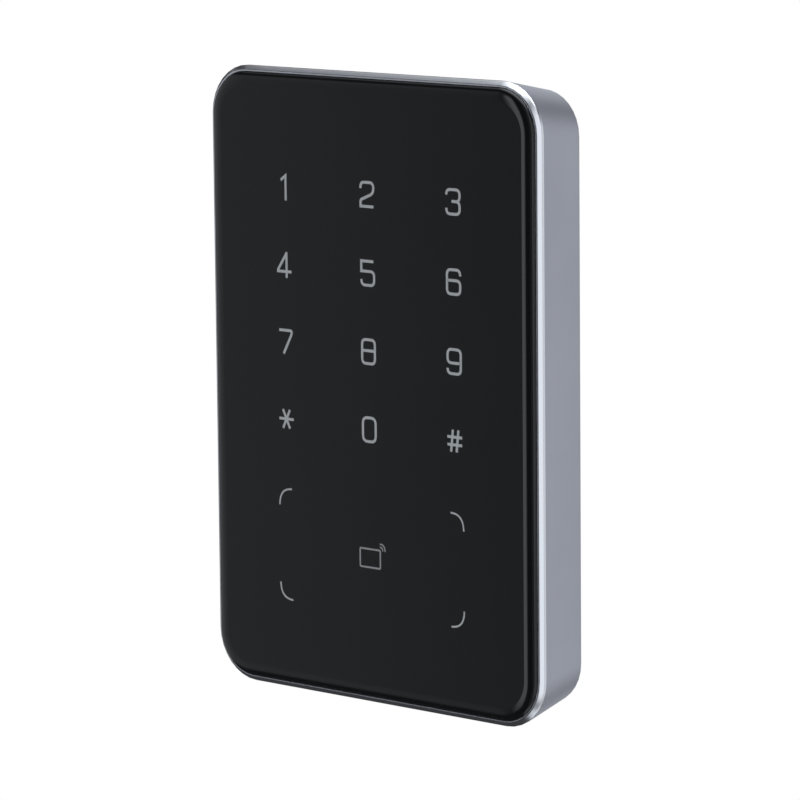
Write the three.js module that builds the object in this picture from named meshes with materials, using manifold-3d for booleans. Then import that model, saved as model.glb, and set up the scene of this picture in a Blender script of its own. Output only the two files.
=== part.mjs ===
// Wall-mounted keypad access reader: a touch keypad and a card reader behind one black glass.
// Millimetres, +X right, +Z up. The wall is the plane y = 0 and the glass faces -Y.
// The origin is the middle of the wall plate's back face.
import * as THREE from "three";
import { mergeVertices } from "three/addons/utils/BufferGeometryUtils.js";
import Module from "manifold-3d";

const wasm = await Module();
wasm.setup();

// ---------------------------------------------------------------- driving dimensions

// Metal frame, seen from the front: the widest outline is the rim, behind the polished chamfer.
const RIM_W = 86;
const RIM_H = 123;
const RIM_R = 9.9;
const CHAMFER = 0.9; // in the plane of the face
const CHAMFER_DEPTH = 0.8;
const BACK_INSET = 2.6; // the side walls draw in by this much from the rim to the back edge
const BACK_R = 8.5;

// Depths, from the wall to the front.
const FRAME_BACK_Y = -1.0;
const LIP_Y = -15.4; // the frame's foremost edge, round the glass
const GLASS_Y = -16.4; // the glass stands proud of the frame
const LEDGE_Y = -13.0; // the step in the frame that carries the glass
const SHELF_Y = -4.2; // the step that carries the seal and the rear cover
const COVER_FRONT_Y = -3.6;
const COVER_BACK_Y = -2.2;
const PLATE_T = 1.5;

// Glass
const GLASS_GAP = 0.25;
const LIP = 0.15; // width of the frame's flat edge between glass pocket and chamfer
const GLASS_T = 3.0;
const GLASS_EDGE_IN = 2.1; // the rounded front edge runs in this far
const GLASS_EDGE_DROP = 1.0; // and drops this much
const GLASS_R = 8.6;

// Cavity for the electronics, and the recess for the rear cover and the wall plate.
const CAVITY_W = 74.5;
const CAVITY_H = 100;
const CAVITY_R = 4;
const RECESS_W = 77.5;
const RECESS_H = 114.5;
const RECESS_R = 7;

// Boards
const BOARD_W = 73.5;
const BOARD_H = 98.6;
const BOARD_R = 3.2;
const TOUCH_FRONT_Y = -11.4;
const TOUCH_T = 1.0;
const CARRIER_FRONT_Y = -10.3;
const CARRIER_T = 2.0;
const MAIN_FRONT_Y = -8.2;
const MAIN_T = 1.2;
const STACK_GAP = 0.1; // air between stacked flat pieces
const CHIP_Y = MAIN_FRONT_Y + MAIN_T + STACK_GAP; // chips stand on the main board's back from here

// Keys: three columns and four rows, and the card area below them.
const KEY_PITCH_X = 22.1;
const KEY_PITCH_Z = 15.2;
const TOP_ROW_Z = 38.2;
const CARD_Z = -33.5;
const COIL_W = 46;
const COIL_H = 27;

// Hinge: the reader hangs by two round bars in the wall plate's two hooks.
const HINGE_Y = -3.2;
const HINGE_Z = 56;
const BAR_R = 0.9;
const HOOK_INNER_R = 1.15;
const HOOK_OUTER_R = 2.15;
const HOOK_X = 22;
const HOOK_W = 8;
const HOOK_WINDOW_W = 12;
const HOOK_WINDOW_FOOT_Z = 52.8;
const HOOK_TURN = 115; // degrees that the hook curls round the bar
const HOOK_POCKET_FOOT_Z = 52; // hollow in the frame behind each hook
const HOOK_POCKET_DEPTH = 2.2;

// Wall plate
const PLATE_W = 76.3;
const PLATE_TOP_Z = 55.3;
const PLATE_FOOT_Z = -56.6;
const PLATE_R = 6.2;
const CABLE_Z = -17;
const CABLE_W = 36;
const CABLE_H = 24;
const CABLE_R = 6;
const SLOT_L = 9; // fixing slots for the wall box's screws
const SLOT_W = 3.8;
const SLOT_X = 30.15;
const SLOT_Z = 41.65;
const PLUG_HOLE_R = 1.9; // holes for screws into wall plugs
const PLUG_HOLE_X = 28;
const PLUG_HOLE_Z = 30;

// Bottom fixing: a tab on the wall plate with a press nut, and a screw that clamps the frame to it.
const TAB_W = 12;
const TAB_FRONT_Y = -7.4;
const TAB_T = 1.4;
const TAB_FOOT_Z = -57.0;
const TAB_POCKET_H = 6.75; // hollow in the frame in front of the tab
const TAB_HOLE_R = 2.05;
const SCREW_Y = -4.4;
const SCREW_R = 1.5;
const SCREW_HEAD_R = 2.75;
const SCREW_HEAD_T = 1.4;
const SCREW_END_Z = -53.6;
const NOTCH_R = 2.1; // open notch in the frame for the shank
const SEAT_R = 3.1; // and the seat for the head
const FLANGE_OUT_Z = -58.6; // outer face of the frame's clamped wall

// Tamper switch
const TAMPER_X = 22;
const TAMPER_Z = 24;
const TAMPER_BORE_R = 2.5;
const PLUNGER_R = 1.4;
const PLUNGER_FLANGE_R = 2.25;
const SPRING_R = 1.85;
const SPRING_WIRE_R = 0.18;

// Screws in the rear cover and in the main board
const COVER_SCREW_X = 33;
const COVER_SCREW_Z = 53.8;
const BOARD_SCREW_X = 33;
const BOARD_SCREW_Z = 45;
const SEAL_Z = 51.9;

const CORNER_STEPS = 5; // facets in a quarter turn of a large corner
const ROUND = 16; // facets in a full small circle

// ---------------------------------------------------------------- materials

const finish = (color, metalness, roughness) =>
  new THREE.MeshStandardMaterial({ color, metalness, roughness });
const SATIN_METAL = finish(0x9ea3ad, 1.0, 0.42);
const BLACK_GLASS = finish(0x0a0b0d, 0.0, 0.12);
const BLACK_PLASTIC = finish(0x18191b, 0.0, 0.55);
const CLEAR_ACRYLIC = finish(0xe8eef0, 0.0, 0.15);
const BOARD_GREEN = finish(0x1e5a35, 0.0, 0.4);
const CHIP_BLACK = finish(0x202124, 0.0, 0.6);
const ZINC_STEEL = finish(0xaeb2b4, 1.0, 0.38);
const SCREW_STEEL = finish(0xc4c7c9, 1.0, 0.3);
const GREY_RUBBER = finish(0x3a3c3e, 0.0, 0.9);
const COPPER = finish(0xb5652b, 1.0, 0.35);
const FERRITE = finish(0x2b2b2d, 0.1, 0.7);
const TAPE_BLACK = finish(0x101113, 0.0, 0.8);
const LED_WHITE = finish(0xf2f0e2, 0.0, 0.3);
const TERMINAL_GREEN = finish(0x2f7d4a, 0.0, 0.5);
const MEMBRANE_WHITE = finish(0xe6e6e2, 0.0, 0.85);

// ---------------------------------------------------------------- shape helpers

// A rounded rectangle round (cx, cz), drawn anticlockwise in X and Z.
function roundedRect(w, h, r, cx = 0, cz = 0) {
  const s = new THREE.Shape();
  const x = w / 2 - r;
  const z = h / 2 - r;
  s.absarc(cx + x, cz + z, r, 0, Math.PI / 2);
  s.absarc(cx - x, cz + z, r, Math.PI / 2, Math.PI);
  s.absarc(cx - x, cz - z, r, Math.PI, Math.PI * 1.5);
  s.absarc(cx + x, cz - z, r, Math.PI * 1.5, Math.PI * 2);
  return s;
}

// A flat piece that stands in the XZ plane, from y = front to y = front + thickness.
function slab(shape, front, thickness, curveSegments = CORNER_STEPS) {
  const g = new THREE.ExtrudeGeometry(shape, { depth: thickness, bevelEnabled: false, curveSegments });
  return g.rotateX(Math.PI / 2).translate(0, front + thickness, 0);
}

const plank = (w, h, front, thickness, cx = 0, cz = 0) =>
  new THREE.BoxGeometry(w, thickness, h).translate(cx, front + thickness / 2, cz);

const disc = (r, front, thickness, cx = 0, cz = 0, sides = ROUND) =>
  new THREE.CylinderGeometry(r, r, thickness, sides).translate(cx, front + thickness / 2, cz);

// A turned piece on an axis along Y: profile points are [radius, y], from the axis round to the axis.
function turned(profile, cx = 0, cz = 0, sides = ROUND) {
  const points = profile.map(([r, y]) => new THREE.Vector2(r, y));
  return new THREE.LatheGeometry(points, sides).translate(cx, 0, cz);
}

// A solid skinned over rounded rectangles { w, h, r, y }, listed from the front to the back.
function loft(sections, steps = CORNER_STEPS) {
  const rings = sections.map(({ w, h, r, y }) => {
    const ring = [];
    for (let quarter = 0; quarter < 4; quarter++) {
      const sx = quarter === 0 || quarter === 3 ? 1 : -1;
      const sz = quarter < 2 ? 1 : -1;
      for (let i = 0; i <= steps; i++) {
        const a = (quarter + i / steps) * (Math.PI / 2);
        ring.push([sx * (w / 2 - r) + r * Math.cos(a), y, sz * (h / 2 - r) + r * Math.sin(a)]);
      }
    }
    return ring;
  });
  const n = rings[0].length;
  const index = [];
  for (let k = 0; k + 1 < rings.length; k++) {
    for (let i = 0; i < n; i++) {
      const j = (i + 1) % n;
      const [a, b, c, d] = [k * n + i, k * n + j, (k + 1) * n + i, (k + 1) * n + j];
      index.push(a, c, b, b, c, d);
    }
  }
  const last = (rings.length - 1) * n;
  for (let i = 1; i + 1 < n; i++) {
    index.push(0, i, i + 1);
    index.push(last, last + i + 1, last + i);
  }
  const g = new THREE.BufferGeometry();
  g.setAttribute("position", new THREE.Float32BufferAttribute(rings.flat(2), 3));
  g.setIndex(index);
  g.computeVertexNormals();
  return g;
}

// ---------------------------------------------------------------- joining and cutting

function toSolid(geometry) {
  const bare = geometry.clone();
  for (const key of Object.keys(bare.attributes)) {
    if (key !== "position") bare.deleteAttribute(key);
  }
  const merged = mergeVertices(bare, 1e-4);
  const made = new wasm.Mesh({
    numProp: 3,
    vertProperties: merged.attributes.position.array,
    triVerts: new Uint32Array(merged.index.array),
  });
  return new wasm.Manifold(made);
}

function toGeometry(solid) {
  const m = solid.getMesh();
  const g = new THREE.BufferGeometry();
  g.setAttribute("position", new THREE.BufferAttribute(Float32Array.from(m.vertProperties), 3));
  g.setIndex(new THREE.BufferAttribute(Uint32Array.from(m.triVerts), 1));
  const flat = g.toNonIndexed();
  flat.computeVertexNormals();
  return flat;
}

const cut = (base, ...tools) =>
  toGeometry(tools.reduce((s, t) => s.subtract(toSolid(t)), toSolid(base)));
const join = (base, ...others) =>
  toGeometry(others.reduce((s, o) => s.add(toSolid(o)), toSolid(base)));

// ---------------------------------------------------------------- scene graph

const reader = new THREE.Group(); // the whole object
const bracket = new THREE.Group(); // stays on the wall
const body = new THREE.Group(); // swings on the hooks
reader.add(bracket, body);

function piece(group, name, geometry, material, x = 0, y = 0, z = 0) {
  const mesh = new THREE.Mesh(geometry, material);
  mesh.name = name;
  mesh.position.set(x, y, z);
  group.add(mesh);
}

const corners = (x, z) => [[-x, z], [x, z], [-x, -z], [x, -z]];

// ---------------------------------------------------------------- wall plate and its fixings

const PLATE_FRONT_Y = -PLATE_T;
const PLATE_MID_Z = (PLATE_TOP_Z + PLATE_FOOT_Z) / 2;
const HOLE_FROM_Y = PLATE_FRONT_Y - 1; // where the plate's cutting tools start
const HOLE_DEPTH = PLATE_T + 2;

// One hook: a strip that leaves the plate level, passes under the bar and curls up in front of it.
function hook(x) {
  const outline = new THREE.Shape();
  outline.moveTo(0, -HOOK_OUTER_R);
  const steps = 9;
  const arcPoint = (radius, i) => {
    const a = (i / steps) * THREE.MathUtils.degToRad(HOOK_TURN);
    outline.lineTo(HINGE_Y - radius * Math.sin(a), -radius * Math.cos(a));
  };
  for (let i = 0; i <= steps; i++) arcPoint(HOOK_OUTER_R, i);
  for (let i = steps; i >= 0; i--) arcPoint(HOOK_INNER_R, i);
  outline.lineTo(0, -HOOK_INNER_R);
  const g = new THREE.ExtrudeGeometry(outline, { depth: HOOK_W, bevelEnabled: false });
  // The outline's own X and Y become the object's Y and Z, and its depth becomes X.
  g.applyMatrix4(new THREE.Matrix4().set(0, 0, 1, 0, 1, 0, 0, 0, 0, 1, 0, 0, 0, 0, 0, 1));
  return g.translate(x - HOOK_W / 2, 0, HINGE_Z);
}

function wallPlate() {
  const sheet = slab(
    roundedRect(PLATE_W, PLATE_TOP_Z - PLATE_FOOT_Z, PLATE_R, 0, PLATE_MID_Z), PLATE_FRONT_Y, PLATE_T,
  );
  const tab = plank(TAB_W, TAB_T, TAB_FRONT_Y, -TAB_FRONT_Y, 0, TAB_FOOT_Z + TAB_T / 2);
  const made = join(sheet, tab, hook(-HOOK_X), hook(HOOK_X));
  const slot = (w, h, x, z) =>
    slab(roundedRect(w, h, SLOT_W / 2 - 0.01, x, z), HOLE_FROM_Y, HOLE_DEPTH, 4);
  const plugHole = ([x, z]) => disc(PLUG_HOLE_R, HOLE_FROM_Y, HOLE_DEPTH, x, z, 12);
  const tabHole = new THREE.CylinderGeometry(TAB_HOLE_R, TAB_HOLE_R, 4, ROUND)
    .rotateX(Math.PI / 2).translate(0, SCREW_Y, TAB_FOOT_Z + TAB_T / 2);
  return cut(
    made,
    slab(roundedRect(CABLE_W, CABLE_H, CABLE_R, 0, CABLE_Z), HOLE_FROM_Y, HOLE_DEPTH),
    slot(SLOT_W, SLOT_L, -SLOT_X, 0),
    slot(SLOT_W, SLOT_L, SLOT_X, 0),
    slot(SLOT_L, SLOT_W, 0, SLOT_Z),
    slot(SLOT_L, SLOT_W, 0, -SLOT_Z),
    disc(PLUNGER_R + 0.9, HOLE_FROM_Y, HOLE_DEPTH, TAMPER_X, TAMPER_Z),
    ...corners(PLUG_HOLE_X, PLUG_HOLE_Z).map(plugHole),
    tabHole,
  );
}

// Rubber edging that lines the cable opening, so that the wires don't rub on the steel.
function cableGrommet() {
  const overlap = 1.1; // how far the lip covers the plate, all round
  const wall = 1.5;
  const lipT = 0.5;
  const gap = 0.05;
  const front = PLATE_FRONT_Y - gap - lipT;
  const ring = (grow, r, from, depth) =>
    slab(roundedRect(CABLE_W + 2 * grow, CABLE_H + 2 * grow, r, 0, CABLE_Z), from, depth);
  const lip = ring(overlap, CABLE_R + 1, front, lipT);
  const liner = ring(-0.1, CABLE_R - 0.1, front, lipT + PLATE_T - gap);
  const bore = ring(-wall, CABLE_R - wall + 0.1, front - 1, 4);
  return cut(join(lip, liner), bore);
}

function bracketPieces() {
  piece(bracket, "wall_plate", wallPlate(), ZINC_STEEL);
  piece(bracket, "cable_grommet", cableGrommet(), GREY_RUBBER);

  // Press nut on the tab: a spigot in the tab's hole and a hexagon on top of it.
  const spigotR = TAB_HOLE_R - 0.1;
  const spigotL = 1.5;
  const nutR = 2.9;
  const nutT = 2.0;
  const threadR = SCREW_R + 0.1;
  const spigot = new THREE.CylinderGeometry(spigotR, spigotR, spigotL, ROUND).translate(0, 0.1, 0);
  const hexagon = new THREE.CylinderGeometry(nutR, nutR, nutT, 6)
    .translate(0, (TAB_T + nutT) / 2 + 0.05, 0);
  const thread = new THREE.CylinderGeometry(threadR, threadR, 8, ROUND);
  const nut = cut(join(spigot, hexagon), thread).rotateX(Math.PI / 2);
  piece(bracket, "press_nut", nut, SCREW_STEEL, 0, SCREW_Y, TAB_FOOT_Z + TAB_T / 2);
}

// Pan-head screw with a hexagon socket that points up through the frame into the press nut.
function securityScrew() {
  const headTop = FLANGE_OUT_Z - 0.05;
  const headFoot = headTop - SCREW_HEAD_T;
  const ease = 0.5; // on the head's edge
  const point = 0.4; // on the shank's end
  const socketR = 1.15;
  const socketDepth = 0.9;
  const profile = [
    [0, headFoot],
    [SCREW_HEAD_R - ease, headFoot],
    [SCREW_HEAD_R, headFoot + ease],
    [SCREW_HEAD_R, headTop],
    [SCREW_R, headTop],
    [SCREW_R, SCREW_END_Z - point],
    [SCREW_R - point, SCREW_END_Z],
    [0, SCREW_END_Z],
  ];
  const blank = new THREE.LatheGeometry(profile.map(([r, z]) => new THREE.Vector2(r, z)), 24);
  const socket = new THREE.CylinderGeometry(socketR, socketR, 2 * socketDepth, 6)
    .translate(0, headFoot, 0);
  return cut(blank, socket).rotateX(Math.PI / 2);
}

// ---------------------------------------------------------------- metal frame and glass

function metalFrame() {
  const lipW = RIM_W - 2 * CHAMFER;
  const lipH = RIM_H - 2 * CHAMFER;
  const outer = loft([
    { w: lipW, h: lipH, r: RIM_R - CHAMFER, y: LIP_Y },
    { w: RIM_W, h: RIM_H, r: RIM_R, y: LIP_Y + CHAMFER_DEPTH },
    { w: RIM_W - 2 * BACK_INSET, h: RIM_H - 2 * BACK_INSET, r: BACK_R, y: FRAME_BACK_Y },
  ]);
  const pocket = slab(
    roundedRect(lipW - 2 * LIP, lipH - 2 * LIP, RIM_R - CHAMFER - LIP),
    LIP_Y - 1,
    LEDGE_Y - LIP_Y + 1,
  );
  const cavity = slab(roundedRect(CAVITY_W, CAVITY_H, CAVITY_R), LEDGE_Y - 1, SHELF_Y - LEDGE_Y + 2);
  const recess = slab(roundedRect(RECESS_W, RECESS_H, RECESS_R), SHELF_Y, 6);
  const recessTop = RECESS_H / 2;
  const hookPocket = (x) => plank(
    HOOK_WINDOW_W + 1, recessTop - HOOK_POCKET_FOOT_Z, SHELF_Y - HOOK_POCKET_DEPTH, 4,
    x, (recessTop + HOOK_POCKET_FOOT_Z) / 2,
  );
  const tabPocket = plank(
    TAB_W + 3, TAB_POCKET_H, TAB_FRONT_Y - 0.8, 6, 0, -recessTop + TAB_POCKET_H / 2,
  );
  const threadR = 1.3;
  const screwHole = ([x, z]) => disc(threadR, SHELF_Y - 5, 6, x, z, 12);
  // The clamping notch and the seat for the screw's head are open towards the wall: each is a
  // round cutter and a square one behind it.
  const toWall = 2 * -SCREW_Y;
  const openCutter = (r, length, z, sides) => [
    new THREE.BoxGeometry(2 * r, toWall, length).translate(0, SCREW_Y + toWall / 2, z),
    new THREE.CylinderGeometry(r, r, length, sides).rotateX(Math.PI / 2).translate(0, SCREW_Y, z),
  ];
  return cut(
    outer,
    pocket,
    cavity,
    recess,
    hookPocket(-HOOK_X),
    hookPocket(HOOK_X),
    tabPocket,
    ...corners(COVER_SCREW_X, COVER_SCREW_Z).map(screwHole),
    ...openCutter(NOTCH_R, 8, FLANGE_OUT_Z + 0.6, ROUND),
    ...openCutter(SEAT_R, 4, FLANGE_OUT_Z - 2, 24),
  );
}

// The glass has a rounded front edge, a quarter of an ellipse, and a small ground edge at its back.
function frontGlass() {
  const w = RIM_W - 2 * (CHAMFER + LIP + GLASS_GAP);
  const h = RIM_H - 2 * (CHAMFER + LIP + GLASS_GAP);
  const sections = [];
  const steps = 5;
  for (let i = 0; i <= steps; i++) {
    const a = (i / steps) * (Math.PI / 2);
    const inset = GLASS_EDGE_IN * (1 - Math.sin(a));
    const y = GLASS_Y + GLASS_EDGE_DROP * (1 - Math.cos(a));
    sections.push({ w: w - 2 * inset, h: h - 2 * inset, r: GLASS_R - inset, y });
  }
  const back = GLASS_Y + GLASS_T;
  const ground = 0.2;
  sections.push({ w, h, r: GLASS_R, y: back - ground });
  sections.push({ w: w - 2 * ground, h: h - 2 * ground, r: GLASS_R - ground, y: back });
  return loft(sections);
}

// Black tape round the ledge and the printed film inside it both lie against the glass's back.
const GLASS_BACK_Y = GLASS_Y + GLASS_T + 0.05;
const FILM_T = 0.25;
const TAPE = { w: 82.6, h: 119.6, r: 8.2 };

function bondingTape() {
  const clear = 0.4; // between the tape and the cavity
  const ring = roundedRect(TAPE.w, TAPE.h, TAPE.r);
  ring.holes.push(roundedRect(CAVITY_W + 2 * clear, CAVITY_H + 2 * clear, CAVITY_R + clear));
  return slab(ring, GLASS_BACK_Y, LEDGE_Y - GLASS_BACK_Y - 0.05);
}

function symbolFilm() {
  return slab(roundedRect(CAVITY_W, CAVITY_H, CAVITY_R), GLASS_BACK_Y, FILM_T);
}

// ---------------------------------------------------------------- light guide, keys and boards

const HEADER = { x: -16, z: 42 };
const LED_X = KEY_PITCH_X / 2;
const LED_ROWS = [0, 1, 2].map((row) => TOP_ROW_Z - (row + 0.5) * KEY_PITCH_Z).concat([CARD_Z]);
const ledPlaces = LED_ROWS.flatMap((z) => [[-LED_X, z], [LED_X, z]]);

function lightGuide() {
  const front = LEDGE_Y + 0.05;
  const sheet = slab(roundedRect(BOARD_W, BOARD_H, BOARD_R), front, TOUCH_FRONT_Y - STACK_GAP - front);
  const pocketW = 5;
  const pocketH = 3.6;
  const pocketDepth = 1.1;
  const pockets = ledPlaces.map(([x, z]) =>
    plank(pocketW, pocketH, TOUCH_FRONT_Y - pocketDepth, 3, x, z));
  return cut(sheet, ...pockets);
}

// A side-view light: a white body with the lens step on top.
function led() {
  const base = plank(3.0, 1.6, -0.45, 0.4);
  const lens = plank(2.2, 1.1, -0.85, 0.45);
  return join(base, lens);
}

function touchBoard() {
  const board = slab(roundedRect(BOARD_W, BOARD_H, BOARD_R), TOUCH_FRONT_Y, TOUCH_T);
  const pinR = 0.8; // holes for the locating pins
  const holes = [[-30, 47], [30, -47]].map(([x, z]) => disc(pinR, TOUCH_FRONT_Y - 1, 3, x, z, 10));
  return cut(board, ...holes);
}

// Moulded chassis between the boards, with windows for the coil, the chips and the header.
function carrierFrame() {
  const sheet = slab(roundedRect(BOARD_W, BOARD_H, BOARD_R), CARRIER_FRONT_Y, CARRIER_T);
  const from = CARRIER_FRONT_Y - 1;
  const window = (w, h, r, x, z) => slab(roundedRect(w, h, r, x, z), from, 4, 3);
  const pilotR = 0.95;
  const switchHole = 9.4;
  return cut(
    sheet,
    window(COIL_W + 3, COIL_H + 3, 5, 0, CARD_Z),
    window(18, 26, 2, 0, 18),
    window(24, 8, 1.5, HEADER.x, HEADER.z),
    window(14, 40, 2, -25, 8),
    window(switchHole, switchHole, 0.6, TAMPER_X, TAMPER_Z),
    ...corners(BOARD_SCREW_X, BOARD_SCREW_Z).map(([x, z]) => disc(pilotR, from, 4, x, z, 10)),
  );
}

// Flat wound loop that powers and reads the card.
function antennaCoil() {
  const winding = 4; // width of the wound band
  const ring = roundedRect(COIL_W, COIL_H, winding + 0.5, 0, CARD_Z);
  ring.holes.push(roundedRect(COIL_W - 2 * winding, COIL_H - 2 * winding, 2, 0, CARD_Z));
  return slab(ring, CARRIER_FRONT_Y + STACK_GAP, 0.7);
}

function mainBoard() {
  const board = slab(roundedRect(BOARD_W, BOARD_H, BOARD_R), MAIN_FRONT_Y, MAIN_T);
  const from = MAIN_FRONT_Y - 1;
  const switchHole = 8.8;
  const screwR = 1.35;
  const pinR = 1.0;
  return cut(
    board,
    plank(switchHole, switchHole, from, 4, TAMPER_X, TAMPER_Z),
    ...corners(BOARD_SCREW_X, BOARD_SCREW_Z).map(([x, z]) => disc(screwR, from, 4, x, z, 12)),
    disc(pinR, from, 4, -20, -44, 10),
    disc(pinR, from, 4, 20, -44, 10),
  );
}

// A flat chip body with a chamfered top edge, and a dimple at its first pin.
function chip(w, h, t) {
  const slope = 0.2; // how far the upper part draws in
  const shape = loft(
    [
      { w, h, r: 0.2, y: 0 },
      { w, h, r: 0.2, y: t * 0.6 },
      { w: w - 2 * slope, h: h - 2 * slope, r: 0.1, y: t },
    ],
    1,
  );
  const dimple = disc(0.35, t - 0.15, 1, -w / 2 + 1, h / 2 - 1, 8);
  return cut(shape, dimple);
}

// A chip with legs: rows of leads along its two upright sides, or all four.
function leadedChip(w, h, t, pins, pitch, fourSides = false) {
  const reach = 1; // a leg's length beyond the body
  const legT = 0.35;
  const legW = pitch * 0.45;
  const legs = [];
  for (let i = 0; i < pins; i++) {
    const along = (i - (pins - 1) / 2) * pitch;
    legs.push(plank(w + 2 * reach, legW, 0, legT, 0, along));
    if (fourSides) legs.push(plank(legW, h + 2 * reach, 0, legT, along, 0));
  }
  return join(chip(w, h, t), ...legs);
}

function buzzer() {
  const r = 5.5;
  const t = 2.7;
  const can = turned([[0, 0], [r, 0], [r, t - 0.3], [r - 0.4, t], [0, t]]);
  return cut(can, disc(0.9, t - 1.5, 2, 0, 0, 12));
}

function capacitor() {
  const r = 2.5;
  const waist = 2.3;
  return turned([
    [0, 0], [r, 0], [r, 0.5], [waist, 0.7], [r, 0.9], [r, 2.6], [r - 0.3, 2.8], [0, 2.8],
  ]);
}

function inductor() {
  const base = plank(5, 5, 0, 0.6);
  const core = 2.1;
  const flange = 2.45;
  const drum = turned([[0, 0.4], [core, 0.4], [core, 1.8], [flange, 1.9], [flange, 2.4], [0, 2.4]]);
  return join(base, drum);
}

// Eight push-in clamps side by side; each has a wire entry and a release slot.
const POLES = 8;
const POLE_PITCH = 2.54;
const TERMINAL = { z: CABLE_Z, w: POLES * POLE_PITCH + 1, h: 8.4, t: 4.3 };

function terminalBlock() {
  const block = plank(TERMINAL.w, TERMINAL.h, 0, TERMINAL.t);
  const cuts = [];
  for (let i = 0; i < POLES; i++) {
    const x = (i - (POLES - 1) / 2) * POLE_PITCH;
    cuts.push(disc(0.8, 1.6, 4, x, -1.9, 10));
    cuts.push(plank(1.1, 1.8, 3.1, 3, x, 2.0));
    if (i > 0) cuts.push(plank(0.25, 9, TERMINAL.t - 0.3, 1, x - POLE_PITCH / 2, 0));
  }
  return cut(block, ...cuts);
}

function boardHeader() {
  const pins = 9;
  const pitch = 2;
  const strip = plank(19, 3.4, 0, 1.9);
  const cuts = [];
  for (let i = 0; i < pins; i++) cuts.push(plank(0.6, 1.6, -1, 1.6, (i - (pins - 1) / 2) * pitch, 0));
  return cut(strip, ...cuts);
}

function boardScrew() {
  const shank = 0.85;
  const head = 2.1;
  const under = 0.02;
  const profile = [
    [0, -3.2], [shank - 0.15, -3.2], [shank, -3.0], [shank, under],
    [head, under], [head, 0.7], [head - 0.5, 1.1], [0, 1.1],
  ];
  return turned(profile, 0, 0, 14);
}

// ---------------------------------------------------------------- tamper switch

const SWITCH_FRONT_Y = -9.9;
const SWITCH_BACK_Y = -4.0;
const SWITCH_FLOOR_Y = -9.2;
const FLANGE_FRONT_Y = -6.3;
const FLANGE_T = 0.6;

function tamperSwitchBody() {
  const side = 8;
  const block = plank(side, side, SWITCH_FRONT_Y, SWITCH_BACK_Y - SWITCH_FRONT_Y);
  return cut(block, disc(TAMPER_BORE_R, SWITCH_FLOOR_Y, 8, 0, 0, 24));
}

// The plunger's tip is level with the wall when the reader is closed.
function tamperPlunger() {
  const back = FLANGE_FRONT_Y + FLANGE_T;
  const ease = 0.4; // on the tip's edge
  return turned([
    [0, FLANGE_FRONT_Y], [PLUNGER_FLANGE_R, FLANGE_FRONT_Y], [PLUNGER_FLANGE_R, back],
    [PLUNGER_R, back], [PLUNGER_R, -ease], [PLUNGER_R - ease, 0], [0, 0],
  ]);
}

class Helix extends THREE.Curve {
  constructor(radius, from, to, turns) {
    super();
    Object.assign(this, { radius, from, to, turns });
  }
  getPoint(t, target = new THREE.Vector3()) {
    const a = t * this.turns * Math.PI * 2;
    const y = this.from + (this.to - this.from) * t;
    return target.set(this.radius * Math.cos(a), y, this.radius * Math.sin(a));
  }
}

function tamperSpring() {
  const clear = SPRING_WIRE_R + 0.08;
  const turns = 4;
  const path = new Helix(SPRING_R, SWITCH_FLOOR_Y + clear, FLANGE_FRONT_Y - clear, turns);
  const wire = new THREE.Shape();
  const sides = 6;
  for (let i = 0; i < sides; i++) {
    const a = (i / sides) * Math.PI * 2;
    const at = [SPRING_WIRE_R * Math.cos(a), SPRING_WIRE_R * Math.sin(a)];
    if (i) wire.lineTo(...at);
    else wire.moveTo(...at);
  }
  const steps = turns * 12;
  return new THREE.ExtrudeGeometry(wire, { steps, bevelEnabled: false, extrudePath: path });
}

// ---------------------------------------------------------------- rear cover

function perimeterSeal() {
  const ring = roundedRect(RECESS_W - 0.5, 2 * SEAL_Z, 5.5);
  ring.holes.push(roundedRect(CAVITY_W + 0.3, CAVITY_H + 0.9, 4.2));
  return slab(ring, SHELF_Y + 0.05, COVER_FRONT_Y - SHELF_Y - 0.1);
}

const VENT = { x: -22, z: 24, r: 3 };
const SOUNDER = { x: -22, z: -2 };
const COVER_T = COVER_BACK_Y - COVER_FRONT_Y;

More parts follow.
